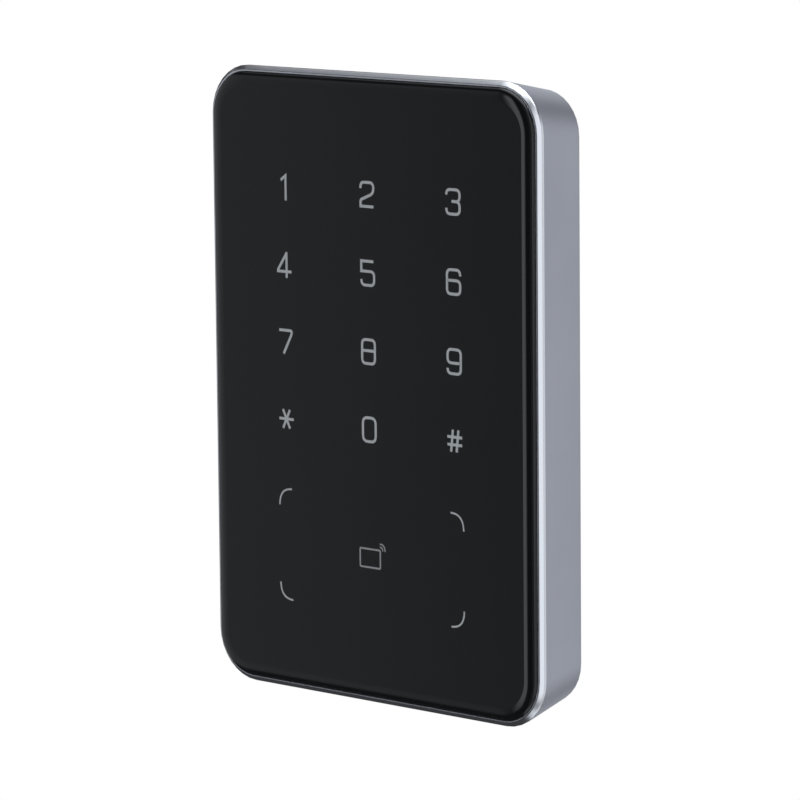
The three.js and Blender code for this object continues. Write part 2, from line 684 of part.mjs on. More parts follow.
function rearCover() {
  const sheet = slab(roundedRect(RECESS_W - 0.5, RECESS_H - 0.5, RECESS_R - 0.2), COVER_FRONT_Y, COVER_T);
  const from = COVER_FRONT_Y - 1;
  const through = COVER_T + 2;
  const windowTop = RECESS_H / 2 + 1;
  const hookWindow = (x) => plank(
    HOOK_WINDOW_W, windowTop - HOOK_WINDOW_FOOT_Z, from - 1, through + 2,
    x, (windowTop + HOOK_WINDOW_FOOT_Z) / 2,
  );
  const tabNotch = plank(TAB_W + 2.4, 8.4, from, through, 0, -RECESS_H / 2 + 2.6);
  const terminalWindow = plank(TERMINAL.w + 1, TERMINAL.h + 1, from, through, 0, TERMINAL.z);
  const shankR = 1.45;
  const headR = 2.6;
  const countersink = ([x, z]) => turned(
    [
      [0, from], [shankR, from], [shankR, COVER_BACK_Y - 1.25], [headR, COVER_BACK_Y - 0.15],
      [headR, COVER_BACK_Y + 1], [0, COVER_BACK_Y + 1],
    ],
    x, z,
  );
  const soundR = 0.6;
  const soundPitch = 2.4;
  const soundHoles = [[0, 0], [1, 0], [-1, 0], [0, 1], [0, -1]].map(([i, j]) =>
    disc(soundR, from, through, i * soundPitch + SOUNDER.x, j * soundPitch + SOUNDER.z, 8));
  const sunk = cut(
    sheet,
    hookWindow(-HOOK_X),
    hookWindow(HOOK_X),
    tabNotch,
    terminalWindow,
    disc(PLUNGER_R + 0.45, from, through, TAMPER_X, TAMPER_Z),
    disc(1.2, from, through, VENT.x, VENT.z, 12),
    disc(VENT.r + 0.15, COVER_BACK_Y - 0.45, 2, VENT.x, VENT.z),
    ...soundHoles,
    ...corners(COVER_SCREW_X, COVER_SCREW_Z).map(countersink),
  );
  // The two round bars that the hooks carry, each set into the sides of its window.
  const bar = (x) => new THREE.CylinderGeometry(BAR_R, BAR_R, HOOK_WINDOW_W + 2, 16)
    .rotateZ(Math.PI / 2).translate(x, HINGE_Y, HINGE_Z);
  // Ribs stiffen the sheet above and below the cable window.
  const rib = (z) => plank(50, 1.0, COVER_BACK_Y - 0.2, 0.55, 0, z);
  const ribZ = 34;
  return join(sunk, bar(-HOOK_X), bar(HOOK_X), rib(ribZ), rib(-ribZ));
}

// Countersunk screw with a cross recess.
function coverScrew() {
  const end = -8.4;
  const top = COVER_BACK_Y - 0.1;
  const shankR = 1.15;
  const headR = 2.3;
  const blank = turned([
    [0, end], [shankR - 0.25, end], [shankR, end + 0.3], [shankR, top - 1.25],
    [headR, top - 0.1], [headR, top], [0, top],
  ]);
  const armL = 2.4;
  const armW = 0.6;
  const recess = top - 0.6;
  return cut(blank, plank(armL, armW, recess, 2), plank(armW, armL, recess, 2));
}

// ---------------------------------------------------------------- assembly of the swinging body

// A piece of the swinging body; chips stand on the main board's back.
const inBody = (...given) => piece(body, ...given);
const onMain = (name, geometry, material, x, z) => inBody(name, geometry, material, x, CHIP_Y, z);

function bodyPieces() {
  inBody("metal_frame", metalFrame(), SATIN_METAL);
  inBody("front_glass", frontGlass(), BLACK_GLASS);
  inBody("bonding_tape", bondingTape(), TAPE_BLACK);
  inBody("symbol_film", symbolFilm(), TAPE_BLACK);
  inBody("light_guide", lightGuide(), CLEAR_ACRYLIC);
  ledPlaces.forEach(([x, z], i) => inBody(`key_led_${i + 1}`, led(), LED_WHITE, x, TOUCH_FRONT_Y, z));
  inBody("touch_board", touchBoard(), BOARD_GREEN);
  const touchBackY = TOUCH_FRONT_Y + TOUCH_T + STACK_GAP;
  inBody("touch_controller", chip(5, 5, 0.8), CHIP_BLACK, 0, touchBackY, 18);
  inBody("carrier_frame", carrierFrame(), BLACK_PLASTIC);
  inBody("board_header", boardHeader(), BLACK_PLASTIC, HEADER.x, CARRIER_FRONT_Y + STACK_GAP, HEADER.z);
  inBody("antenna_coil", antennaCoil(), COPPER);
  const ferrite = slab(roundedRect(COIL_W, COIL_H, 2, 0, CARD_Z), CARRIER_FRONT_Y + 1.0, 0.9);
  inBody("ferrite_sheet", ferrite, FERRITE);

  inBody("main_board", mainBoard(), BOARD_GREEN);
  onMain("main_controller", leadedChip(9, 9, 1.4, 7, 1.2, true), CHIP_BLACK, 4, 12);
  onMain("card_reader_chip", leadedChip(6, 6, 1.0, 4, 1.2, true), CHIP_BLACK, 14, -34);
  onMain("bus_driver", leadedChip(4, 5, 1.5, 4, 1.27), CHIP_BLACK, -14, -33);
  onMain("voltage_regulator", leadedChip(6.5, 6, 2.2, 3, 2.0), CHIP_BLACK, -26, -30);
  onMain("clock_crystal", chip(5, 3.2, 1.1), SCREW_STEEL, 15, 6);
  onMain("bulk_capacitor", capacitor(), SCREW_STEEL, 26, -28);
  onMain("power_inductor", inductor(), FERRITE, 27, -38);
  onMain("sounder", buzzer(), CHIP_BLACK, SOUNDER.x, SOUNDER.z);
  onMain("terminal_block", terminalBlock(), TERMINAL_GREEN, 0, TERMINAL.z);
  const boardBackY = MAIN_FRONT_Y + MAIN_T + 0.05;
  corners(BOARD_SCREW_X, BOARD_SCREW_Z).forEach(([x, z], i) =>
    inBody(`board_screw_${i + 1}`, boardScrew(), SCREW_STEEL, x, boardBackY, z));

  inBody("tamper_switch_body", tamperSwitchBody(), BLACK_PLASTIC, TAMPER_X, 0, TAMPER_Z);
  inBody("tamper_spring", tamperSpring(), SCREW_STEEL, TAMPER_X, 0, TAMPER_Z);
  inBody("perimeter_seal", perimeterSeal(), GREY_RUBBER);
  inBody("rear_cover", rearCover(), BLACK_PLASTIC);
  inBody("vent_membrane", disc(VENT.r, COVER_BACK_Y - 0.4, 0.3, VENT.x, VENT.z), MEMBRANE_WHITE);
  corners(COVER_SCREW_X, COVER_SCREW_Z).forEach(([x, z], i) =>
    inBody(`cover_screw_${i + 1}`, coverScrew(), SCREW_STEEL, x, 0, z));
}

bracketPieces();
bodyPieces();
piece(reader, "security_screw", securityScrew(), SCREW_STEEL, 0, SCREW_Y, 0);
piece(reader, "tamper_plunger", tamperPlunger(), BLACK_PLASTIC, TAMPER_X, 0, TAMPER_Z);

export default reader;
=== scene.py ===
"""Looks for a wall-mounted keypad access reader.

The reader is a metal frame that carries a black glass with twelve touch keys and a card area. It
hangs on two hooks of a steel wall plate and is clamped by one screw from below. Lengths are
millimetres until a mesh is made; +X is right, +Z is up, the wall is y = 0 and the glass faces -Y.
"""

import math

import bmesh
import bpy
import numpy as np
from mathutils import Matrix, Vector


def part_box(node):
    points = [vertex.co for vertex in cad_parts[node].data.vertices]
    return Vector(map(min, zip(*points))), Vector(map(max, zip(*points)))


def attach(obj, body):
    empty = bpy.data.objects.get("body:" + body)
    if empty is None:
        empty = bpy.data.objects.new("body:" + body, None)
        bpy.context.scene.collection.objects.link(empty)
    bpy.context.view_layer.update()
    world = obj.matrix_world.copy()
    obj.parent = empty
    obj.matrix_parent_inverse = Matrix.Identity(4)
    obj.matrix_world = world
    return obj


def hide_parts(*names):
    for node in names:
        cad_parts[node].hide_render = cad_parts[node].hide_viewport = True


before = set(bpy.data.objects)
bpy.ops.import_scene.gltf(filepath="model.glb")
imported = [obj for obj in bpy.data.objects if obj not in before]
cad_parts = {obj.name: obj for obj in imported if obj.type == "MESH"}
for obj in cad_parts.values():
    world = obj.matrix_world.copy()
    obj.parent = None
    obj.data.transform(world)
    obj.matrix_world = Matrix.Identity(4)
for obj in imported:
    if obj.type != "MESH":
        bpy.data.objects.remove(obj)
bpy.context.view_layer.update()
MM = 0.001
SCENE = bpy.context.scene


def node_box(name):
    """A CAD node's lowest and highest corner, in millimetres."""
    low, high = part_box(name)
    return np.array(low) / MM, np.array(high) / MM


# ---------------------------------------------------------------- sizes that pieces share

FRAME_LOW, FRAME_HIGH = node_box("metal_frame")
GLASS_LOW, GLASS_HIGH = node_box("front_glass")
PLATE_LOW, PLATE_HIGH = node_box("wall_plate")

LIP_Y = FRAME_LOW[1]
GLASS_Y = GLASS_LOW[1]

# The axis on which the reader swings, the hooks' places across and the clamping screw's depth.
HINGE_Y = -3.2
HINGE_Z = 56.0
HOOK_X = 22.0
SCREW_Y = -4.4

ARC = 9  # points in a quarter turn of a corner
EASE = 4  # points in an eased corner of a section


# ---------------------------------------------------------------- camera

CAMERA_AZIMUTH = math.radians(42.5)
CAMERA_ELEVATION = math.radians(8.5)
CAMERA_ROLL = math.radians(-0.54)
CAMERA_DISTANCE = 905.8
CAMERA_SHIFT_RIGHT = 5.31
CAMERA_SHIFT_UP = -1.69
CAMERA_LENS = 211.4
SENSOR = 36.0


def place_camera():
    """Looks at the middle of the frame's front edge from the right and a little above."""
    a, e, r = CAMERA_AZIMUTH, CAMERA_ELEVATION, CAMERA_ROLL
    back = Vector((math.sin(a) * math.cos(e), -math.cos(a) * math.cos(e), math.sin(e)))
    level = Vector((math.cos(a), math.sin(a), 0.0))
    upright = back.cross(level)
    right = math.cos(r) * level + math.sin(r) * upright
    up = math.cos(r) * upright - math.sin(r) * level
    camera = bpy.data.objects.new("camera", bpy.data.cameras.new("camera"))
    camera.data.lens = CAMERA_LENS
    camera.data.sensor_width = SENSOR
    camera.data.clip_start = 0.01
    camera.data.clip_end = 50.0
    place = Vector((0, LIP_Y, 0)) + back * CAMERA_DISTANCE
    place += right * CAMERA_SHIFT_RIGHT + up * CAMERA_SHIFT_UP
    turn = Matrix((right, up, back)).transposed()
    camera.matrix_world = Matrix.Translation(place * MM) @ turn.to_4x4()
    SCENE.collection.objects.link(camera)
    SCENE.camera = camera


# ---------------------------------------------------------------- shader toolkit


class Value:
    """A socket of a node tree. Arithmetic on it adds the Math nodes."""

    def __init__(self, paint, socket):
        self.paint = paint
        self.socket = socket

    def maths(self, operation, *terms):
        """A Math node's result, with the terms in the node's own order."""
        return self.paint.node("ShaderNodeMath", {"operation": operation}, dict(enumerate(terms)))

    def __add__(self, other):
        return self.maths("ADD", self, other)

    def __sub__(self, other):
        return self.maths("SUBTRACT", self, other)

    def __rsub__(self, other):
        return self.maths("SUBTRACT", other, self)

    def __mul__(self, other):
        return self.maths("MULTIPLY", self, other)

    def __pow__(self, other):
        return self.maths("POWER", self, other)

    def __abs__(self):
        return self.maths("ABSOLUTE", self)

    __radd__ = __add__


class Paint:
    """The node tree of one material or world, with the few helpers that the finishes use."""

    def __init__(self, owner):
        owner.use_nodes = True
        self.tree = owner.node_tree
        self.tree.nodes.clear()

    def node(self, kind, settings=None, inputs=None, out=0):
        """Adds a node, sets it up, fills or links its inputs and returns one output."""
        made = self.tree.nodes.new(kind)
        for key, value in (settings or {}).items():
            setattr(made, key, value)
        for key, value in (inputs or {}).items():
            if isinstance(value, Value):
                self.tree.links.new(value.socket, made.inputs[key])
            else:
                made.inputs[key].default_value = value
        return Value(self, made.outputs[out]) if made.outputs else None

    def place(self):
        """The piece's own coordinates, in metres."""
        return self.node("ShaderNodeTexCoord", out=3)

    def axes(self, at):
        """The X, Y and Z of coordinates, as three values."""
        split = self.node("ShaderNodeSeparateXYZ", inputs={0: at}).socket.node
        return [Value(self, split.outputs[i]) for i in range(3)]

    def noise(self, scale, detail=2.0, rough=0.5, at=None):
        """Smooth noise from 0 to 1; scale is in lumps per metre."""
        at = at or self.place()
        inputs = {"Scale": scale, "Detail": detail, "Roughness": rough, "Vector": at}
        return self.node("ShaderNodeTexNoise", inputs=inputs)

    def stretched(self, x, y, z):
        """The piece's coordinates times x, y and z."""
        scale = {0: self.place(), 1: (x, y, z)}
        return self.node("ShaderNodeVectorMath", {"operation": "MULTIPLY"}, scale)

    def cells(self, scale, feature="F1"):
        """Distances in a pattern of cells; scale is in cells per metre."""
        inputs = {"Scale": scale, "Vector": self.place()}
        return self.node("ShaderNodeTexVoronoi", {"feature": feature}, inputs)

    def band(self, value, low, high):
        """0 below low, 1 above high and smooth in between."""
        settings = {"interpolation_type": "SMOOTHSTEP"}
        inputs = {"Value": value, "From Min": low, "From Max": high}
        return self.node("ShaderNodeMapRange", settings, inputs)

    def mix(self, amount, one, two):
        """Colour one where amount is 0 and colour two where it is 1."""
        inputs = {0: amount, 6: rgba(one), 7: rgba(two)}
        return self.node("ShaderNodeMix", {"data_type": "RGBA"}, inputs, out=2)

    def bump(self, height, depth):
        """A height from 0 to 1 that stands depth millimetres proud."""
        inputs = {"Height": height, "Distance": depth * MM, "Strength": 1.0}
        return self.node("ShaderNodeBump", inputs=inputs)

    def surface(self, **inputs):
        """The Principled shader as the material's surface. Names use _ for a space."""
        named = {key.replace("_", " "): value for key, value in inputs.items()}
        shader = self.node("ShaderNodeBsdfPrincipled", inputs=named)
        self.node("ShaderNodeOutputMaterial", inputs={"Surface": shader})


def rgba(colour):
    """A colour of three numbers gets its alpha; a linked one stays as it is."""
    return colour if isinstance(colour, Value) else (*colour, 1.0)


def finish(make):
    """Turns a function that paints a material into one that makes it once and then returns it."""
    kept = {}

    def get():
        if not kept:
            kept["made"] = bpy.data.materials.new(make.__name__)
            make(Paint(kept["made"]))
        return kept["made"]

    return get


# ---------------------------------------------------------------- finishes


@finish
def blasted_metal(p):
    """Zinc casting, bead blasted and lacquered: a fine even grain and faint clouds."""
    grain = p.noise(9000, 3)
    cloud = p.noise(60, 2)
    p.surface(
        Base_Color=p.mix(cloud, (0.57, 0.572, 0.63), (0.645, 0.645, 0.70)),
        Metallic=1.0,
        Roughness=0.36 + grain * 0.16,
        Normal=p.bump(grain, 0.012),
    )


@finish
def polished_metal(p):
    """The diamond-cut edge: bright, with fine lines that follow the cut."""
    lines = p.noise(1.0, 2, at=p.stretched(600, 9000, 600))
    p.surface(
        Base_Color=p.mix(lines, (0.83, 0.83, 0.87), (0.91, 0.91, 0.945)),
        Metallic=1.0,
        Roughness=0.14 + lines * 0.10,
        Normal=p.bump(lines, 0.001),
    )


@finish
def black_glass(p):
    """Clear glass over black ink: very smooth, with the faintest haze of handling."""
    haze = p.noise(45, 4)
    p.surface(
        Base_Color=p.mix(haze, (0.0035, 0.0037, 0.0042), (0.0050, 0.0052, 0.0058)),
        Roughness=0.045 + haze * 0.03,
        Normal=p.bump(p.noise(30, 1), 0.0008),
        Specular_IOR_Level=0.5,
    )


@finish
def grey_ink(p):
    """Symbols printed in grey: slightly mottled where the ink is thin."""
    mottle = p.noise(6000, 2)
    p.surface(
        Base_Color=p.mix(mottle, (0.36, 0.365, 0.37), (0.47, 0.475, 0.48)),
        Roughness=0.45 + mottle * 0.1,
    )


@finish
def dim_ink(p):
    """The card's outline, printed thinner than the keys."""
    mottle = p.noise(6000, 2)
    p.surface(
        Base_Color=p.mix(mottle, (0.22, 0.225, 0.23), (0.30, 0.305, 0.31)),
        Roughness=0.45 + mottle * 0.1,
    )


@finish
def zinc_steel(p):
    """Rolled sheet with bright zinc: soft streaks along the roll and a fine spangle."""
    streak = p.noise(1.0, 3, at=p.stretched(900, 900, 40))
    spangle = p.cells(700)
    p.surface(
        Base_Color=p.mix(streak, (0.52, 0.54, 0.56), (0.68, 0.70, 0.71)),
        Metallic=1.0,
        Roughness=0.26 + streak * 0.16 + spangle * 0.08,
        Normal=p.bump(streak * 0.7 + spangle * 0.3, 0.004),
    )


@finish
def screw_steel(p):
    """Plated screws and nuts: bright, with turning lines and dull spots."""
    rings = p.noise(1.0, 2, at=p.stretched(1200, 1200, 12000))
    p.surface(
        Base_Color=p.mix(rings, (0.62, 0.63, 0.64), (0.76, 0.77, 0.78)),
        Metallic=1.0,
        Roughness=0.22 + rings * 0.16,
        Normal=p.bump(rings, 0.004),
    )


@finish
def black_plastic(p):
    """Moulded plastic with a spark-eroded texture."""
    grain = p.noise(3200, 3, 0.6)
    p.surface(
        Base_Color=p.mix(grain, (0.010, 0.0105, 0.011), (0.020, 0.021, 0.022)),
        Roughness=0.42 + grain * 0.22,
        Normal=p.bump(grain, 0.02),
    )


@finish
def grey_rubber(p):
    """Soft rubber, matt and a little cloudy."""
    cloud = p.noise(500, 4)
    p.surface(
        Base_Color=p.mix(cloud, (0.022, 0.023, 0.024), (0.045, 0.046, 0.047)),
        Roughness=0.72 + cloud * 0.16,
        Normal=p.bump(p.noise(4000, 2), 0.01),
    )


TRACK_PITCH = 0.9
TRACK_EDGE = (0.16, 0.24)  # a track's soft edge, out from the middle between two tracks


@finish
def solder_mask(p):
    """Green lacquer over copper: in patches, tracks stand out as faintly raised, lighter lines."""
    x = p.axes(p.place())[0]
    pitch = TRACK_PITCH * MM
    wave = p.node("ShaderNodeMath", {"operation": "PINGPONG"}, {0: x, 1: pitch})
    low, high = (edge * MM for edge in TRACK_EDGE)
    tracks = p.band(abs(wave - pitch / 2), low, high) * p.band(p.cells(150), 0.35, 0.45)
    p.surface(
        Base_Color=p.mix(tracks, (0.010, 0.085, 0.032), (0.020, 0.15, 0.055)),
        Roughness=0.28 + p.noise(800, 2) * 0.12,
        Coat_Weight=0.3,
        Normal=p.bump(tracks, 0.03),
    )


@finish
def chip_resin(p):
    """Moulded resin of a chip: matt black with a fine grain."""
    grain = p.noise(7000, 2)
    p.surface(
        Base_Color=p.mix(grain, (0.014, 0.014, 0.015), (0.026, 0.026, 0.027)),
        Roughness=0.5 + grain * 0.2,
        Normal=p.bump(grain, 0.01),
    )


@finish
def copper_winding(p):
    """Enamelled copper strands side by side."""
    strands = p.noise(1.0, 1, at=p.stretched(5000, 200, 5000))
    p.surface(
        Base_Color=p.mix(strands, (0.42, 0.13, 0.045), (0.72, 0.28, 0.10)),
        Metallic=1.0,
        Roughness=0.26 + strands * 0.14,
        Normal=p.bump(strands, 0.05),
    )


@finish
def ferrite(p):
    """Pressed ferrite: dark grey, matt and granular."""
    grain = p.noise(2600, 4, 0.65)
    p.surface(
        Base_Color=p.mix(grain, (0.016, 0.016, 0.017), (0.045, 0.044, 0.043)),
        Roughness=0.55 + grain * 0.25,
        Normal=p.bump(grain, 0.02),
    )


@finish
def black_tape(p):
    """Dull black tape with a fine weave."""
    weave = p.noise(3500, 3)
    p.surface(
        Base_Color=p.mix(weave, (0.006, 0.006, 0.007), (0.014, 0.014, 0.015)),
        Roughness=0.7 + weave * 0.15,
        Normal=p.bump(weave, 0.01),
    )


@finish
def clear_acrylic(p):
    """Pale acrylic, lightly frosted in places. It is made opaque, as the glass covers it."""
    frost = p.noise(1500, 3)
    p.surface(
        Base_Color=p.mix(frost, (0.72, 0.76, 0.78), (0.84, 0.87, 0.88)),
        Roughness=0.16 + frost * 0.22,
        Coat_Weight=0.4,
        Normal=p.bump(frost, 0.006),
    )


@finish
def led_lens(p):
    """A lamp's cloudy yellow phosphor."""
    phosphor = p.noise(1800, 3)
    p.surface(
        Base_Color=p.mix(phosphor, (0.80, 0.70, 0.32), (0.88, 0.86, 0.72)),
        Roughness=0.25 + phosphor * 0.15,
        Normal=p.bump(phosphor, 0.008),
    )


@finish
def terminal_green(p):
    """Green moulded plastic with a fine grain."""
    grain = p.noise(2500, 3)
    p.surface(
        Base_Color=p.mix(grain, (0.020, 0.16, 0.055), (0.035, 0.24, 0.085)),
        Roughness=0.38 + grain * 0.18,
        Normal=p.bump(grain, 0.015),
    )


@finish
def vent_membrane(p):
    """Stretched white film: a felted web of fine fibres."""
    web = p.cells(6000, "DISTANCE_TO_EDGE")
    fibres = p.band(web, 0.0, 0.18)
    p.surface(
        Base_Color=p.mix(fibres, (0.84, 0.84, 0.81), (0.66, 0.66, 0.64)),
        Roughness=0.75 + fibres * 0.12,
        Normal=p.bump(fibres, 0.02),
    )


@finish
def studio_floor(p):
    """Pale matt floor, lit from below too, that fades out well away from the object."""
    x, y = p.axes(p.place())[:2]
    away = (x**2 + y**2) ** 0.5
    colour = p.mix(p.noise(40, 3), (0.88, 0.88, 0.88), (0.92, 0.92, 0.92))
    matt = p.node("ShaderNodeBsdfDiffuse", inputs={"Color": colour})
    glow = p.node("ShaderNodeEmission", inputs={"Color": colour, "Strength": FLOOR_GLOW})
    lit = p.node("ShaderNodeAddShader", inputs={0: matt, 1: glow})
    clear = p.node("ShaderNodeBsdfTransparent")
    mixed = p.node("ShaderNodeMixShader", inputs={0: p.band(away, *FLOOR_FADE), 1: lit, 2: clear})
    p.node("ShaderNodeOutputMaterial", inputs={"Surface": mixed})


SLOT_FINISHES = {
    "frame_metal": blasted_metal,
    "front_glass": black_glass,
    "black_tape": black_tape,
    "clear_acrylic": clear_acrylic,
    "led_white": led_lens,
    "board_green": solder_mask,
    "chip_black": chip_resin,
    "black_plastic": black_plastic,
    "coil_copper": copper_winding,
    "ferrite_grey": ferrite,
    "bright_can": screw_steel,
    "terminal_green": terminal_green,
    "screw_steel": screw_steel,
    "seal_rubber": grey_rubber,
    "membrane_white": vent_membrane,
    "plate_steel": zinc_steel,
}


# ---------------------------------------------------------------- outlines


def rect(width, height, radius, x=0.0, z=0.0):
    """A rectangle's corners (x, z, radius), anticlockwise from the lower right."""
    w, h = width / 2, height / 2
    places = [(x + w, z - h), (x + w, z + h), (x - w, z + h), (x - w, z - h)]
    return [(*place, radius) for place in places]


def circle(radius, x, z):
    """A round hole as a square whose arcs all but meet."""
    return rect(2 * radius, 2 * radius, radius * 0.9999, x, z)


def outline(corners, grow=0.0, arc=ARC):
    """A closed anticlockwise line of straight edges joined by arcs, moved outwards by grow.

    With u and v the directions into and out of a corner P, and n and m their outward normals,
    the moved corner is P + grow (n + m) / (1 + u.v). Its arc has radius r + grow, or r - grow
    at a hollow corner, starts r tan(turn / 2) before it and turns through the angle from u to v.
    """
    given = np.array(corners, float)
    point, radius = given[:, :2], given[:, 2:]
    leave = np.roll(point, -1, 0) - point
    leave /= np.linalg.norm(leave, axis=1, keepdims=True)
    arrive = np.roll(leave, 1, 0)
    normal = np.stack([arrive[:, 1], -arrive[:, 0]], 1)
    next_normal = np.stack([leave[:, 1], -leave[:, 0]], 1)
    cross = arrive[:, :1] * leave[:, 1:] - arrive[:, 1:] * leave[:, :1]
    dot = (arrive * leave).sum(1, keepdims=True)
    turn = np.arctan2(cross, dot)
    side = np.sign(turn)
    moved = point + grow * (normal + next_normal) / (1 + dot)
    bend = np.maximum(radius + grow * side, 0.01)
    start = moved - arrive * bend * np.tan(abs(turn) / 2)
    spoke = normal * side * bend
    centre = start - spoke
    angle = turn * np.linspace(0, 1, arc)
    x = centre[:, :1] + spoke[:, :1] * np.cos(angle) - spoke[:, 1:] * np.sin(angle)
    z = centre[:, 1:] + spoke[:, :1] * np.sin(angle) + spoke[:, 1:] * np.cos(angle)
    return np.stack([x.ravel(), z.ravel()], 1)


def upright(line, y):
    """A line of (x, z) as a ring of points at depth y."""
    return np.insert(line, 1, y, axis=1)


def rounded(rows, fillets):
    """Eases the corners of a closed section.

    rows has one row for each corner, and a row has one width, height, radius and y for each
    station. Between the rows A, B and C the curve is (1-t)^2 (B + s(A-B)) + 2t(1-t) B +
    t^2 (B + s'(C-B)), where s and s' are B's fillet over the length of each side, and at most a
    half. That length is sqrt((change of width / 2)^2 + (change of y)^2). Also returns each new
    row's corner number, which runs from 0.4 before an eased corner to 0.4 after it.
    """
    new_rows, numbers = [], []
    count = len(rows)
    for i, fillet in enumerate(fillets):
        here = rows[i]
        if not fillet:
            new_rows.append(here)
            numbers.append(float(i))
            continue
        ends = []
        for other in (rows[i - 1], rows[(i + 1) % count]):
            step = other - here
            length = np.sqrt((step[:, 1:2] / 2) ** 2 + step[:, 3:] ** 2) + 1e-9
            ends.append(here + step * np.minimum(fillet / length, 0.5))
        for t in np.linspace(0, 1, EASE):
            new_rows.append((1 - t) ** 2 * ends[0] + 2 * t * (1 - t) * here + t**2 * ends[1])
            numbers.append(i - 0.4 + 0.8 * t)
    return np.array(new_rows), np.array(numbers)


# ---------------------------------------------------------------- meshes


def ring_faces(rings, points, loop, start):
    """Quads between neighbouring closed rings of a grid whose first vertex is number start."""
    ring = np.arange(rings if loop else rings - 1)[:, None]
    point = np.arange(points)[None]
    ahead = (ring + 1) % rings
    beside = (point + 1) % points
    corners = [(ring, point), (ring, beside), (ahead, beside), (ahead, point)]
    quads = np.stack([r * points + p for r, p in corners], -1)
    return quads.reshape(-1, 4) + start


class Shell:
    """Vertices and faces collected from grids, to become one piece.

    A face's paint is the number of its finish.
    """

    def __init__(self):
        self.points = []
        self.faces = []
        self.paints = []
        self.count = 0

    def grid(self, rings, loop=False, paint=0):
        """Adds closed rings of points, an array (ring, point, 3), with the faces between them.

        paint is one number, or one for each band between two rings.
        """
        rings = np.asarray(rings, float)
        count, points = rings.shape[:2]
        quads = ring_faces(count, points, loop, self.count)
        self.points.append(rings.reshape(-1, 3))
        self.faces.extend(quads.tolist())
        bands = np.broadcast_to(paint, len(quads) // points)
        self.paints.extend(np.repeat(bands, points).tolist())
        self.count += count * points

    def capped(self, rings):
        """The same with its first and last ring closed by one flat face each."""
        first = self.count
        self.grid(rings)
        points = np.shape(rings)[1]
        self.faces.append(list(range(first, first + points)))
        self.faces.append(list(range(self.count - points, self.count)))
        self.paints.extend([0, 0])

    def add_turned(self, other):
        """Adds another shell laid level: its y becomes z and its z becomes y."""
        self.points.extend(points[:, [0, 2, 1]] for points in other.points)
        self.faces.extend([i + self.count for i in face] for face in other.faces)
        self.paints.extend(other.paints)
        self.count += other.count

    def mesh(self, name, fill_at=()):
        """The mesh in metres, its doubles merged and its open edges on the planes fill_at filled.

        A plane is an axis number and a place in millimetres.
        """
        made = bpy.data.meshes.new(name)
        made.from_pydata((np.concatenate(self.points) * MM).tolist(), [], self.faces)
        made.polygons.foreach_set("material_index", self.paints)
        work = bmesh.new()
        work.from_mesh(made)
        bmesh.ops.remove_doubles(work, verts=work.verts, dist=1e-6)
        bmesh.ops.dissolve_degenerate(work, dist=1e-7, edges=work.edges)
        for axis, at in fill_at:
            rim = []
            for edge in work.edges:
                near = all(abs(v.co[axis] / MM - at) < 1e-3 for v in edge.verts)
                if edge.is_boundary and near:
                    rim.append(edge)
            bmesh.ops.triangle_fill(work, use_beauty=True, use_dissolve=False, edges=rim)
        bmesh.ops.recalc_face_normals(work, faces=work.faces)
        work.to_mesh(made)
        work.free()
        return made


def add_piece(name, mesh, finishes, body, replaced=(), sharp=35):
    """Links a mesh as a piece that rides on a body, with its finishes and a crisp, even shading."""
    made = bpy.data.objects.new(name, mesh)
    SCENE.collection.objects.link(made)
    for one in finishes:
        mesh.materials.append(one())
    mesh.shade_smooth()
    mesh.set_sharp_from_angle(angle=math.radians(sharp))
    shade = made.modifiers.new("even shading", "WEIGHTED_NORMAL")
    shade.keep_sharp = True
    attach(made, body)
    if replaced:
        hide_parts(*replaced)
    return made


def panel(shell, outer, holes, front, back, fillet):
    """The rounded walls of a flat sheet between y = front and y = back.

    Every wall runs in a quarter circle from each face: at angle a it is drawn into the material
    by fillet (1 - sin a) and lies fillet (1 - cos a) inside the face. The faces are filled later.
    """
    angle = np.linspace(0, math.pi / 2, EASE)
    inset = fillet * (1 - np.sin(angle))
    drop = fillet * (1 - np.cos(angle))
    inset = np.concatenate([inset, inset[::-1]])
    depth = np.concatenate([front + drop, (back - drop)[::-1]])
    for corners, side in [(outer, -1), *((hole, 1) for hole in holes)]:
        shell.grid([upright(outline(corners, grow * side), y) for grow, y in zip(inset, depth)])


def softened(node, name, body, slot, width):
    """A CAD node's shape with its edges rounded: a merged copy, bevelled along its sharp edges.

    It has the finish of its slot.
    """
    work = bmesh.new()
    work.from_mesh(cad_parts[node].data)
    bmesh.ops.remove_doubles(work, verts=work.verts, dist=1e-6)
    flat = math.radians(1)
    bmesh.ops.dissolve_limit(work, angle_limit=flat, verts=work.verts, edges=work.edges)
    for face in work.faces:
        face.material_index = 0
    mesh = bpy.data.meshes.new(name)
    work.to_mesh(mesh)
    work.free()
    mesh.materials.clear()
    made = add_piece(name, mesh, [SLOT_FINISHES[slot]], body, [node], sharp=40)
    bevel = made.modifiers.new("soft edges", "BEVEL")
    bevel.width = width * MM
    bevel.segments = 2
    bevel.limit_method = "ANGLE"
    bevel.angle_limit = math.radians(30)
    bevel.use_clamp_overlap = True
    made.modifiers.move(1, 0)


# ---------------------------------------------------------------- metal frame

# The outside, from the front: the lip, which slopes outwards a little, the chamfer, the rim and
# the sides, which draw in towards the back.
RIM_W = FRAME_HIGH[0] - FRAME_LOW[0]
RIM_H = FRAME_HIGH[2] - FRAME_LOW[2]
RIM_R = 9.9
LIP = 0.3
LIP_FALL = 0.06
CHAMFER = 0.9
CHAMFER_DEPTH = 0.8
RIM_Y = LIP_Y + CHAMFER_DEPTH
BACK_Y = FRAME_HIGH[1]
BACK_INSET = 2.6
BACK_R = 8.5

